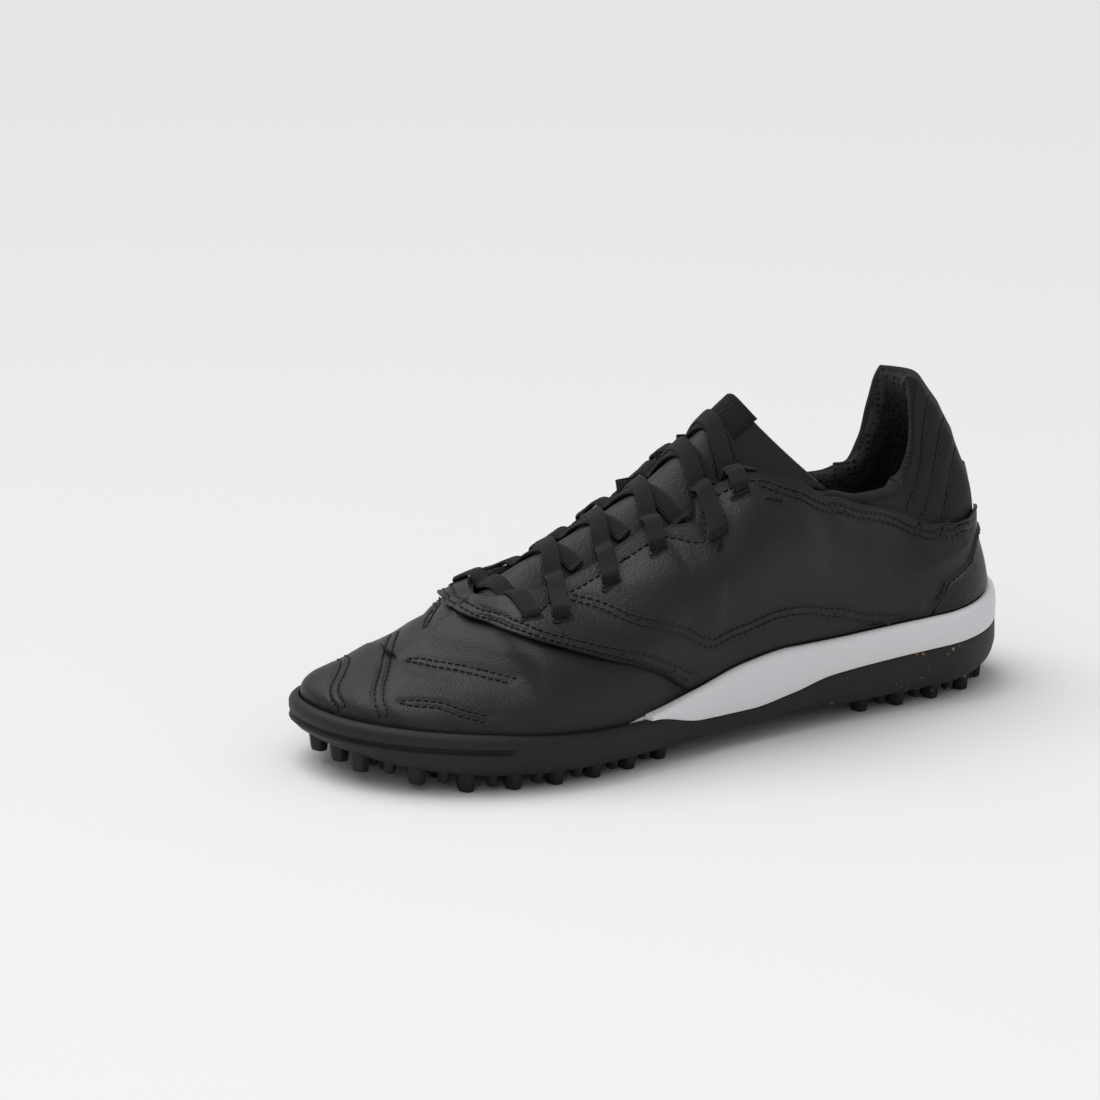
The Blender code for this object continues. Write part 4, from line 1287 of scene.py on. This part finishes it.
def laceRun(name, start, end, lift, startNormal, endNormal):
    # Flat lace draped between two plan points; where a normal is given, that end turns into its eyelet
    start, end = np.array(start[:2]), np.array(end[:2])
    run = (end - start) / np.linalg.norm(end - start)
    left = np.array([-run[1], run[0]])
    n = int(np.linalg.norm(end - start) / lace["step"]) + 1
    centre = start + (end - start) * np.linspace(0, 1, n)[:, None]
    edges = []
    lanes = np.linspace(-1, 1, 5)
    for lane in lanes:
        spots = centre + left * lane * lace["width"] / 2
        near = (-lace["reach"], 0, lace["reach"])
        edges.append([max(surfaceBelow(*(p + run * r)) for r in near) for p in spots])
    edges = np.array(edges)
    # The lace stays nearly flat across: a plane through its edges, raised clear of its middle
    tilt = (edges[-1] - edges[0]) / 2
    mid = (edges[-1] + edges[0]) / 2
    need = np.max(edges - (mid + tilt * lanes[:, None]), axis=0)
    window = max(1, int(lace["ease"] / lace["step"]))
    mid, tilt = eased(mid + np.maximum(need, 0), window), eased(tilt, window)
    slope = np.gradient(mid, lace["step"])
    z = mid + (lift + lace["thickness"] / 2) * np.sqrt(1 + slope**2)
    path = np.column_stack([centre, z])
    wide = np.column_stack([np.tile(left * lace["width"] / 2, (n, 1)), tilt])
    wide = wide / np.linalg.norm(wide, axis=1, keepdims=True) * lace["width"] / 2
    for at, normal in ((0, startNormal), (-1, endNormal)):
        if normal is None:
            continue
        ahead = path[at] - path[at - 2 if at else 2]
        ahead /= np.linalg.norm(ahead)
        inward = -np.array(normal)
        inward -= ahead * inward.dot(ahead)
        inward /= np.linalg.norm(inward)
        turn, extra = lace["turn"], []
        for a in np.linspace(0.15, 1.0, lace["turnSteps"]) * np.pi / 2:
            extra.append(path[at] + ahead * turn * np.sin(a) + inward * turn * (1 - np.cos(a)))
        steps = lace["diveSteps"]
        extra += [extra[-1] + inward * lace["dive"] * k / steps for k in range(1, steps + 1)]
        wides = [wide[at]] * len(extra)
        if at == 0:
            path, wide = np.vstack([extra[::-1], path]), np.vstack([wides, wide])
        else:
            path, wide = np.vstack([path, extra]), np.vstack([wide, wides])
    return ribbon(name, path, wide)


def ribbon(name, path, wide):
    # Flat band with rounded edges swept along a path
    tangent = np.gradient(path, axis=0)
    tangent /= np.linalg.norm(tangent, axis=1, keepdims=True)
    side = wide / np.linalg.norm(wide, axis=1, keepdims=True)
    side = side - tangent * np.einsum("ij,ij->i", side, tangent)[:, None]
    side /= np.linalg.norm(side, axis=1, keepdims=True)
    up = np.cross(tangent, side)
    up *= np.where(np.sum(up[:, 2]) < 0, -1, 1)
    a = np.linspace(0, 2 * np.pi, lace["facets"])
    half, thick = lace["width"] / 2, lace["thickness"] / 2
    u = np.sign(np.cos(a)) * np.abs(np.cos(a)) ** lace["sidePower"] * half
    v = np.sign(np.sin(a)) * np.abs(np.sin(a)) ** lace["facePower"] * thick
    ring = path[:, None] + side[:, None] * u[None, :, None] + up[:, None] * v[None, :, None]
    caps = []
    for end in (0, -1):
        t = np.linspace(0, 1, 3)[:, None, None]
        caps.append(gridMesh(name, (ring[end] * (1 - t) + path[end] * t).reshape(3, -1, 3)))
    band = gridMesh(name, ring)
    stamp(band, "laceRun", np.repeat(lengths(path), len(a)))
    stamp(band, "laceAcross", np.tile(u / half, len(path)))
    return shadeSmooth(weld(joinAll(name, [band] + caps), 1e-6), 60)


ends = {side: [eyeletPlace(i, side) for i in range(7)] for side in (-1, 1)}
laceBar = laceRun("laceBar", ends[-1][0][0], ends[1][0][0], lace["lift"], ends[-1][0][1], ends[1][0][1])
laceCrosses = []
over = lace["thickness"] * lace["over"]
for i in range(1, 6):
    (outerEnd, outerNormal), (innerEnd, innerNormal) = ends[-1][i], ends[1][i]
    first = laceRun(f"laceA{i}", underEdge(i + 1, 1), outerEnd, lace["lift"] + over, None, outerNormal)
    second = laceRun(f"laceB{i}", underEdge(i + 1, -1), innerEnd, lace["lift"], None, innerNormal)
    laceCrosses.append(joinAll(f"laceCross{i}", [first, second]))
print("stage: laces")


# Eyelets: a pressed rim under each lace end, and two empty ones at the top; in each rim a near-black disc
# stands for the slit, painted shade where the hole is

eyelet = {
    "length": 0.0064,
    "width": 0.0017,
    "rim": 0.00030,
    "shift": 0.0009,
    "depth": 0.0006,
    "sunk": 0.00022,
    "facets": 28,
    "probe": 0.006,
}


def drawnOut(made, axes, centre):
    # A round form drawn out to the slit's length and set on the leather
    co = coords(made)
    co[:, 0] += np.sign(co[:, 0]) * (eyelet["length"] - eyelet["width"]) / 2
    setCoords(made, co @ axes + centre)
    return made


def makeEyelets():
    rims, shadedHoles = [], []
    panelTree = surfaceTree([saddle])
    for side in (-1, 1):
        for share, rise in zip(lace["shares"], lace["rises"]):
            s, r = np.array([share]), np.array([rise])
            centre, normal = upperPoint(s, side, r)[0], upperNormal(s, side, r)[0]
            run = upperPoint(s - 0.01, side, r)[0] - upperPoint(s + 0.01, side, r)[0]
            run /= np.linalg.norm(run)
            down = np.cross(normal, run) * (1 if np.cross(normal, run)[2] < 0 else -1)
            centre = centre + down * eyelet["shift"]
            probe = eyelet["probe"]
            hit = panelTree.ray_cast(Vector(centre + normal * probe), Vector(-normal), 2 * probe)
            if hit[0] is None:
                continue
            seat = np.array(hit[0])
            axes = np.array([run, np.cross(normal, run), normal])
            bpy.ops.object.select_all(action="DESELECT")
            bpy.ops.mesh.primitive_torus_add(
                major_radius=eyelet["width"] / 2,
                minor_radius=eyelet["rim"],
                major_segments=eyelet["facets"],
                minor_segments=8,
            )
            rims.append(drawnOut(bpy.context.object, axes, seat))
            bpy.ops.object.select_all(action="DESELECT")
            # painted shade: a thin near-black disc in the rim stands for the dark hollow of the slit
            bpy.ops.mesh.primitive_cylinder_add(
                vertices=eyelet["facets"], radius=eyelet["width"] / 2, depth=eyelet["depth"]
            )
            shadedHoles.append(drawnOut(bpy.context.object, axes, seat - normal * eyelet["sunk"]))
    return shadeSmooth(joinAll("eyeletRims", rims), 60), joinAll("eyeletSlitShades", shadedHoles)


eyeletRims, eyeletSlitShades = makeEyelets()
print("stage: eyelets")


# Small panels at the heel

heel = {
    "counterLow": 0.01,
    "counterEnd": 0.157,
    "counterThickness": 0.0011,
    "counterRows": 22,
    "stripShare": 0.004,
    "stripLow": 0.35,
    "stripHigh": 0.50,
    "stripThickness": 0.0009,
    "stripRows": 30,
}
counterTable = table(
    "share upper",
    [
        (0.000, 0.235),
        (0.033, 0.235),
        (0.077, 0.228),
        (0.120, 0.200),
        (0.157, 0.045),
    ],
)


def roundHeel(shares, low, high):
    # Columns from the outer side round the heel to the inner side; shares grow away from the heel
    outer = [(s, -1, low, top) for s, top in zip(shares[::-1], high[::-1])]
    return outer + [(s, 1, low, top) for s, top in zip(shares[1:], high[1:])]


counterShares = spaced(0.0, heel["counterEnd"], panel["spacing"])
counterTop = column(counterTable, "upper", counterShares)
counterColumns = roundHeel(counterShares, heel["counterLow"], counterTop)
counter = panelMesh("heelCounter", counterColumns, heel["counterThickness"], heel["counterRows"])
stripShares = np.linspace(0, heel["stripShare"], 4)
stripColumns = roundHeel(stripShares, heel["stripLow"], np.full(4, heel["stripHigh"]))
backStrip = panelMesh("backStrip", stripColumns, heel["stripThickness"], heel["stripRows"])
for piece in (counter, backStrip):
    shadeSmooth(piece, 40)
for piece in (vamp, collar, saddle):
    shadeSmooth(piece, 50)
print("stage: heel panels")


# Stitches: small raised threads laid along every track on the finished surface

thread = {
    "pitch": 0.0022,
    "length": 0.0017,
    "radius": 0.00026,
    "sunk": 0.00004,
    "sides": 6,
    "twist": 0.00045,
}


def stitchRing():
    # One stitch along X as a grid: a bowed thread with blunt ends
    t = np.array([-1.0, -0.92, -0.6, 0.0, 0.6, 0.92, 1.0])
    fat = np.array([0.25, 0.75, 1.0, 1.05, 1.0, 0.75, 0.25])
    bow = np.array([-0.9, -0.45, 0.1, 0.25, 0.1, -0.45, -0.9])
    a = np.linspace(0, 2 * np.pi, thread["sides"], endpoint=False)
    x = np.repeat(t * thread["length"] / 2, len(a))
    y = (fat[:, None] * np.cos(a)[None]).ravel() * thread["radius"]
    z = ((fat[:, None] * np.sin(a)[None]) + bow[:, None]).ravel() * thread["radius"]
    rows, n = len(t), len(a)
    faces = []
    for r in range(rows - 1):
        for i in range(n):
            j = (i + 1) % n
            faces.append((r * n + i, r * n + j, (r + 1) * n + j, (r + 1) * n + i))
    faces.append(tuple(range(n))[::-1])
    faces.append(tuple((rows - 1) * n + i for i in range(n)))
    return np.stack([x, y, z], 1), faces


def stitchesOn(name, lines, tree, reach=0.006):
    shape, faces = stitchRing()
    allPoints, allFaces = [], []
    for line, normal in lines:
        length = lengths(line)
        for s in np.arange(thread["pitch"] / 2, length[-1], thread["pitch"]):
            spot = Vector(along(line, length, s))
            out = Vector(along(normal, length, s)).normalized()
            hit = tree.ray_cast(spot + out * reach, -out, 2 * reach)
            if hit[0] is None:
                continue
            z = hit[1] if hit[1].dot(out) > 0 else -hit[1]
            near = hit[0] + z * (thread["radius"] - thread["sunk"])
            step = thread["pitch"] / 4
            ahead = Vector(along(line, length, s + step)) - Vector(along(line, length, s - step))
            y = z.cross(ahead.normalized()).normalized()
            frameOf = np.array([y.cross(z), y, z])
            allFaces += [tuple(len(allPoints) * len(shape) + i for i in f) for f in faces]
            allPoints.append(shape @ frameOf + np.array(near))
    made = meshObject(name, np.vstack(allPoints), allFaces)
    return shadeSmooth(made, 80)


outside = surfaceTree([vamp, collar, saddle, counter, backStrip])
stitching = stitchesOn("stitching", [(t["line"], t["normal"]) for t in tracks], outside)
print("stage: stitches")


# Materials

class Wire:
    # A shader socket that takes part in sums
    def __init__(self, tree, socket):
        self.tree, self.socket = tree, socket

    def math(self, operation, other=None, swap=False):
        node = self.tree.nodes.new("ShaderNodeMath")
        node.operation = operation
        for slot, value in zip(node.inputs, (other, self) if swap else (self, other)):
            if isinstance(value, Wire):
                self.tree.links.new(value.socket, slot)
            elif value is not None:
                slot.default_value = value
        return Wire(self.tree, node.outputs[0])

    def __add__(self, other):
        return self.math("ADD", other)

    def __sub__(self, other):
        return self.math("SUBTRACT", other)

    def __rsub__(self, other):
        return self.math("SUBTRACT", other, True)

    def __mul__(self, other):
        return self.math("MULTIPLY", other)

    def __truediv__(self, other):
        return self.math("DIVIDE", other)

    def clamp(self):
        return self.math("MAXIMUM", 0.0).math("MINIMUM", 1.0)

    def ramp(self, low, high):
        # 0 below low, 1 above high, smooth between
        return ((self - low) / (high - low)).clamp()


class Finish:
    # One material and the short ways to its nodes
    def __init__(self, name):
        self.material = bpy.data.materials.new(name)
        self.material.use_nodes = True
        self.tree = self.material.node_tree
        self.shader = self.tree.nodes["Principled BSDF"]
        self.place = self.node("ShaderNodeTexCoord", output="Object")

    def node(self, kind, settings=None, output=0, **values):
        made = self.tree.nodes.new(kind)
        for key, value in (settings or {}).items():
            setattr(made, key, value)
        for key, value in values.items():
            slot = made.inputs[key.replace("_", " ")]
            if isinstance(value, Wire):
                self.tree.links.new(value.socket, slot)
            else:
                slot.default_value = value
        return Wire(self.tree, made.outputs[output])

    def noise(self, scale, detail=2.0, rough=0.5, distort=0.0):
        return self.node(
            "ShaderNodeTexNoise",
            {"noise_dimensions": "3D"},
            Vector=self.place,
            Scale=scale,
            Detail=detail,
            Roughness=rough,
            Distortion=distort,
        )

    def cells(self, scale, output="Distance", random=1.0):
        return self.node(
            "ShaderNodeTexVoronoi",
            output=output,
            Vector=self.place,
            Scale=scale,
            Randomness=random,
        )

    def mix(self, factor, first, second):
        made = self.tree.nodes.new("ShaderNodeMix")
        made.data_type = "RGBA"
        for slot, value in ((0, factor), (6, first), (7, second)):
            if isinstance(value, Wire):
                self.tree.links.new(value.socket, made.inputs[slot])
            elif slot == 0:
                made.inputs[slot].default_value = value
            else:
                made.inputs[slot].default_value = (*value, 1)
        return Wire(self.tree, made.outputs[2])

    def axis(self, which):
        return self.node("ShaderNodeSeparateXYZ", output=which, Vector=self.place)

    def attribute(self, name):
        return self.node("ShaderNodeAttribute", {"attribute_name": name}, output="Fac")

    def set(self, **values):
        for key, value in values.items():
            slot = self.shader.inputs[key.replace("_", " ")]
            if isinstance(value, Wire):
                self.tree.links.new(value.socket, slot)
            else:
                slot.default_value = (*value, 1) if isinstance(value, tuple) and len(value) == 3 else value
        return self

    def bump(self, height, depth):
        # Last call of a finish: its relief, in metres
        self.set(Normal=self.node("ShaderNodeBump", Height=height, Distance=depth, Strength=1.0))
        return self.material


def leatherFinish(name, colour, rough, grain, depth):
    m = Finish(name)
    pebble = m.cells(grain)
    fine = m.noise(grain * 2.6, 3.0, 0.6)
    broad = m.noise(60.0, 3.0, 0.55)
    wrinkle = m.noise(260.0, 4.0, 0.65, 0.6)
    height = pebble * 0.55 + fine * 0.35 + wrinkle * 0.8
    worn = tuple(c * 1.5 + 0.002 for c in colour)
    m.set(
        Base_Color=m.mix((broad * 0.6 + fine * 0.4).ramp(0.35, 0.75), colour, worn),
        Roughness=broad * 0.16 + fine * 0.10 + (rough - 0.13),
        Specular_IOR_Level=0.30,
    )
    return m.bump(height, depth)


def knitFinish(name, colour, rough, pitch, depth):
    # Warp knit: rows of small slanted loops, their hollows darkened with painted shade
    m = Finish(name)
    x, y, z = m.axis("X"), m.axis("Y"), m.axis("Z")
    k = 2 * math.pi / pitch
    a = ((x + y * 0.35) * k).math("SINE")
    b = ((z + y * 0.15 + x * 0.25) * k * 1.3).math("SINE")
    c = ((x * 0.5 - z + y) * k * 0.8).math("SINE")
    loops = (a * b) * 0.5 + 0.5
    fuzz = m.noise(4200.0, 2.0, 0.6)
    height = loops * 0.8 + c * 0.15 + fuzz * 0.35
    # painted shade: the colour darkens to deep where the loops sink, following the bump
    deep = tuple(v * 0.55 for v in colour)
    m.set(
        Base_Color=m.mix((loops * 0.8 + fuzz * 0.3).ramp(0.2, 0.9), deep, colour),
        Roughness=fuzz * 0.1 + (rough - 0.05),
        Sheen_Weight=0.05,
        Specular_IOR_Level=0.22,
    )
    return m.bump(height, depth)


def meshLining(name):
    m = Finish(name)
    shadedHoles = m.cells(520.0, random=0.25)
    fuzz = m.noise(3600.0, 2.0, 0.6)
    # painted shade: the holes are coloured near black and the threads round them lighter, following the bump
    open_ = shadedHoles.ramp(0.18, 0.42)
    m.set(
        Base_Color=m.mix(open_, (0.004, 0.004, 0.004), (0.030, 0.030, 0.031)),
        Roughness=fuzz * 0.1 + 0.80,
        Sheen_Weight=0.04,
        Specular_IOR_Level=0.2,
    )
    return m.bump(open_ * 0.9 + fuzz * 0.25, 0.0005)


def rubberFinish(name, flecked):
    m = Finish(name)
    fine = m.noise(2600.0, 3.0, 0.6)
    broad = m.noise(45.0, 2.0, 0.5)
    worn = (broad * 0.5 + fine * 0.5).ramp(0.3, 0.8)
    colour = m.mix(worn, (0.0085, 0.0085, 0.0088), (0.018, 0.018, 0.0185))
    if flecked:
        warp = m.noise(900.0, 2.0, 0.6)
        fleck = m.cells(430.0, output="Distance") + warp * 0.22
        chance = m.node("ShaderNodeSeparateColor", output="Red", Color=m.cells(430.0, output="Color"))
        region = m.noise(110.0, 2.0, 0.5)
        rear = m.axis("X").ramp(0.006, 0.022)
        spot = (1 - fleck.ramp(0.22, 0.34)) * chance.ramp(0.60, 0.62) * region.ramp(0.45, 0.56) * rear
        tint = m.mix(m.noise(300.0, 1.0).ramp(0.4, 0.6), (0.42, 0.20, 0.02), (0.50, 0.40, 0.05))
        colour = m.mix(spot * 0.85, colour, tint)
    m.set(Base_Color=colour, Roughness=fine * 0.14 + broad * 0.10 + 0.42, Specular_IOR_Level=0.26)
    return m.bump(fine * 0.6 + m.noise(700.0, 3.0, 0.6) * 0.7, 0.00022)


def foamFinish(name):
    m = Finish(name)
    fine = m.noise(2200.0, 3.0, 0.65)
    broad = m.noise(30.0, 2.0, 0.5)
    scuff = m.noise(140.0, 4.0, 0.7, 0.8)
    colour = m.mix(scuff.ramp(0.62, 0.80) * 0.35, (0.80, 0.785, 0.80), (0.70, 0.68, 0.67))
    m.set(
        Base_Color=colour,
        Roughness=fine * 0.10 + broad * 0.08 + 0.45,
        Subsurface_Weight=0.12,
        Subsurface_Scale=0.6,
    )
    return m.bump(fine * 0.5 + scuff * 0.6, 0.00012)


def laceFinish(name):
    # Flat woven cord: ribs slant from both edges to the middle, with painted shade in the grooves between
    # ribs and lanes
    m = Finish(name)
    run, across = m.attribute("laceRun"), m.attribute("laceAcross")
    k = 2 * math.pi / lace["rib"]
    slant = (across * (math.pi * 6)).math("SINE") * 0.00022
    ribs = ((run + slant) * k).math("SINE") * 0.5 + 0.5
    lanes = (across * (math.pi * 6)).math("COSINE") * 0.5 + 0.5
    fuzz = m.noise(5200.0, 2.0, 0.6)
    # painted shade: the cord is darker in the grooves between its ribs and lanes, following the bump
    shade = (ribs * 0.35 + lanes * 0.65 + fuzz * 0.3).ramp(0.2, 1.2)
    m.set(
        Base_Color=m.mix(shade, (0.0035, 0.0035, 0.0035), (0.016, 0.016, 0.0165)),
        Roughness=fuzz * 0.1 + 0.76,
        Sheen_Weight=0.06,
        Specular_IOR_Level=0.25,
    )
    return m.bump(ribs * 0.35 + lanes * 0.8 + fuzz * 0.25, 0.00040)


def threadFinish(name):
    m = Finish(name)
    run = m.axis("X") + m.axis("Y") * 0.6 + m.axis("Z") * 0.8
    twist = (run * (2 * math.pi / thread["twist"])).math("SINE") * 0.5 + 0.5
    # painted shade: the thread is darker in the grooves of its twist, following the bump
    m.set(
        Base_Color=m.mix(twist, (0.0035, 0.0035, 0.0035), (0.014, 0.014, 0.0145)),
        Roughness=twist * -0.1 + 0.62,
    )
    return m.bump(twist, 0.00008)


leather = leatherFinish("softLeather", (0.0075, 0.0075, 0.0078), 0.46, 1500.0, 0.00016)
panelLeather = leatherFinish("panelLeather", (0.0080, 0.0080, 0.0084), 0.43, 1250.0, 0.00018)
knit = knitFinish("collarKnit", (0.011, 0.011, 0.0115), 0.86, 0.0013, 0.00035)
lining = meshLining("meshLining")
padCloth = leatherFinish("padCloth", (0.0070, 0.0070, 0.0073), 0.66, 2400.0, 0.00010)
# painted shade: near-black finish for the discs that stand for the eyelet slits
paintedSlitShade = leatherFinish("paintedSlitShade", (0.0020, 0.0020, 0.0020), 0.80, 1500.0, 0.0001)
tongueCloth = knitFinish("tongueCloth", (0.010, 0.010, 0.0105), 0.88, 0.0010, 0.00028)
rubber = rubberFinish("soleRubber", True)
foam = foamFinish("whiteFoam")
cord = laceFinish("lacing")
threadMaterial = threadFinish("thread")
footbed = knitFinish("footbed", (0.022, 0.022, 0.023), 0.9, 0.0012, 0.0002)


painted = [
    (vamp, leather, lining),
    (collar, padCloth, knit, lining),
    (saddle, panelLeather),
    (counter, panelLeather),
    (backStrip, leather),
    (outsole, rubber),
    (lugSet, rubber),
    (midsole, foam),
    (insole, footbed),
    (tongue, leather),
    (label, tongueCloth),
    (stitching, threadMaterial),
    (eyeletRims, panelLeather),
    (eyeletSlitShades, paintedSlitShade),
    *((piece, cord) for piece in (laceBar, *laceCrosses)),
]
for piece, *materials in painted:
    piece.data.materials.clear()
    for material in materials:
        piece.data.materials.append(material)


def setZones(obj, bands):
    # Faces take a material by how far their middle lies below the top edge
    values = np.zeros(len(obj.data.vertices))
    obj.data.attributes["belowEdge"].data.foreach_get("value", values)
    loops = np.zeros(len(obj.data.loops), dtype=np.int64)
    obj.data.loops.foreach_get("vertex_index", loops)
    starts = np.zeros(len(obj.data.polygons), dtype=np.int64)
    obj.data.polygons.foreach_get("loop_start", starts)
    mean = np.add.reduceat(values[loops], starts) / np.diff(np.append(starts, len(loops)))
    index = np.zeros(len(mean), dtype=np.int32)
    for limit, slot in bands:
        index[mean < limit] = slot
    obj.data.polygons.foreach_set("material_index", index)
    obj.data.update()


# The vamp is lined inside; the collar has a knit band at its edge and a mesh lining inside
edgeBand = 0.0045
setZones(vamp, [(0.0, 1)])
setZones(collar, [(edgeBand, 1), (-0.001, 2)])
print("stage: materials")


# Pieces to bodies and nodes

pieces = {
    "vamp": (vamp, "upper"),
    "collar": (collar, "upper"),
    "saddle": (saddle, "saddle"),
    "heelCounter": (counter, "heel_counter"),
    "backStrip": (backStrip, "back_strip"),
    "outsole": (outsole, "outsole"),
    "lugs": (lugSet, "outsole"),
    "midsole": (midsole, "midsole"),
    "insole": (insole, "insole"),
    "tongue": (tongue, "tongue"),
    "tongueLabel": (label, "tongue_label"),
    "laceBar": (laceBar, "lace_bar"),
}
for i, piece in enumerate(laceCrosses, 1):
    pieces[f"laceCross{i}"] = (piece, f"lace_cross_{i}")
for piece, node in pieces.values():
    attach(piece, "root")
    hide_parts(node)
for piece in (stitching, eyeletRims, eyeletSlitShades):
    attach(piece, "root")
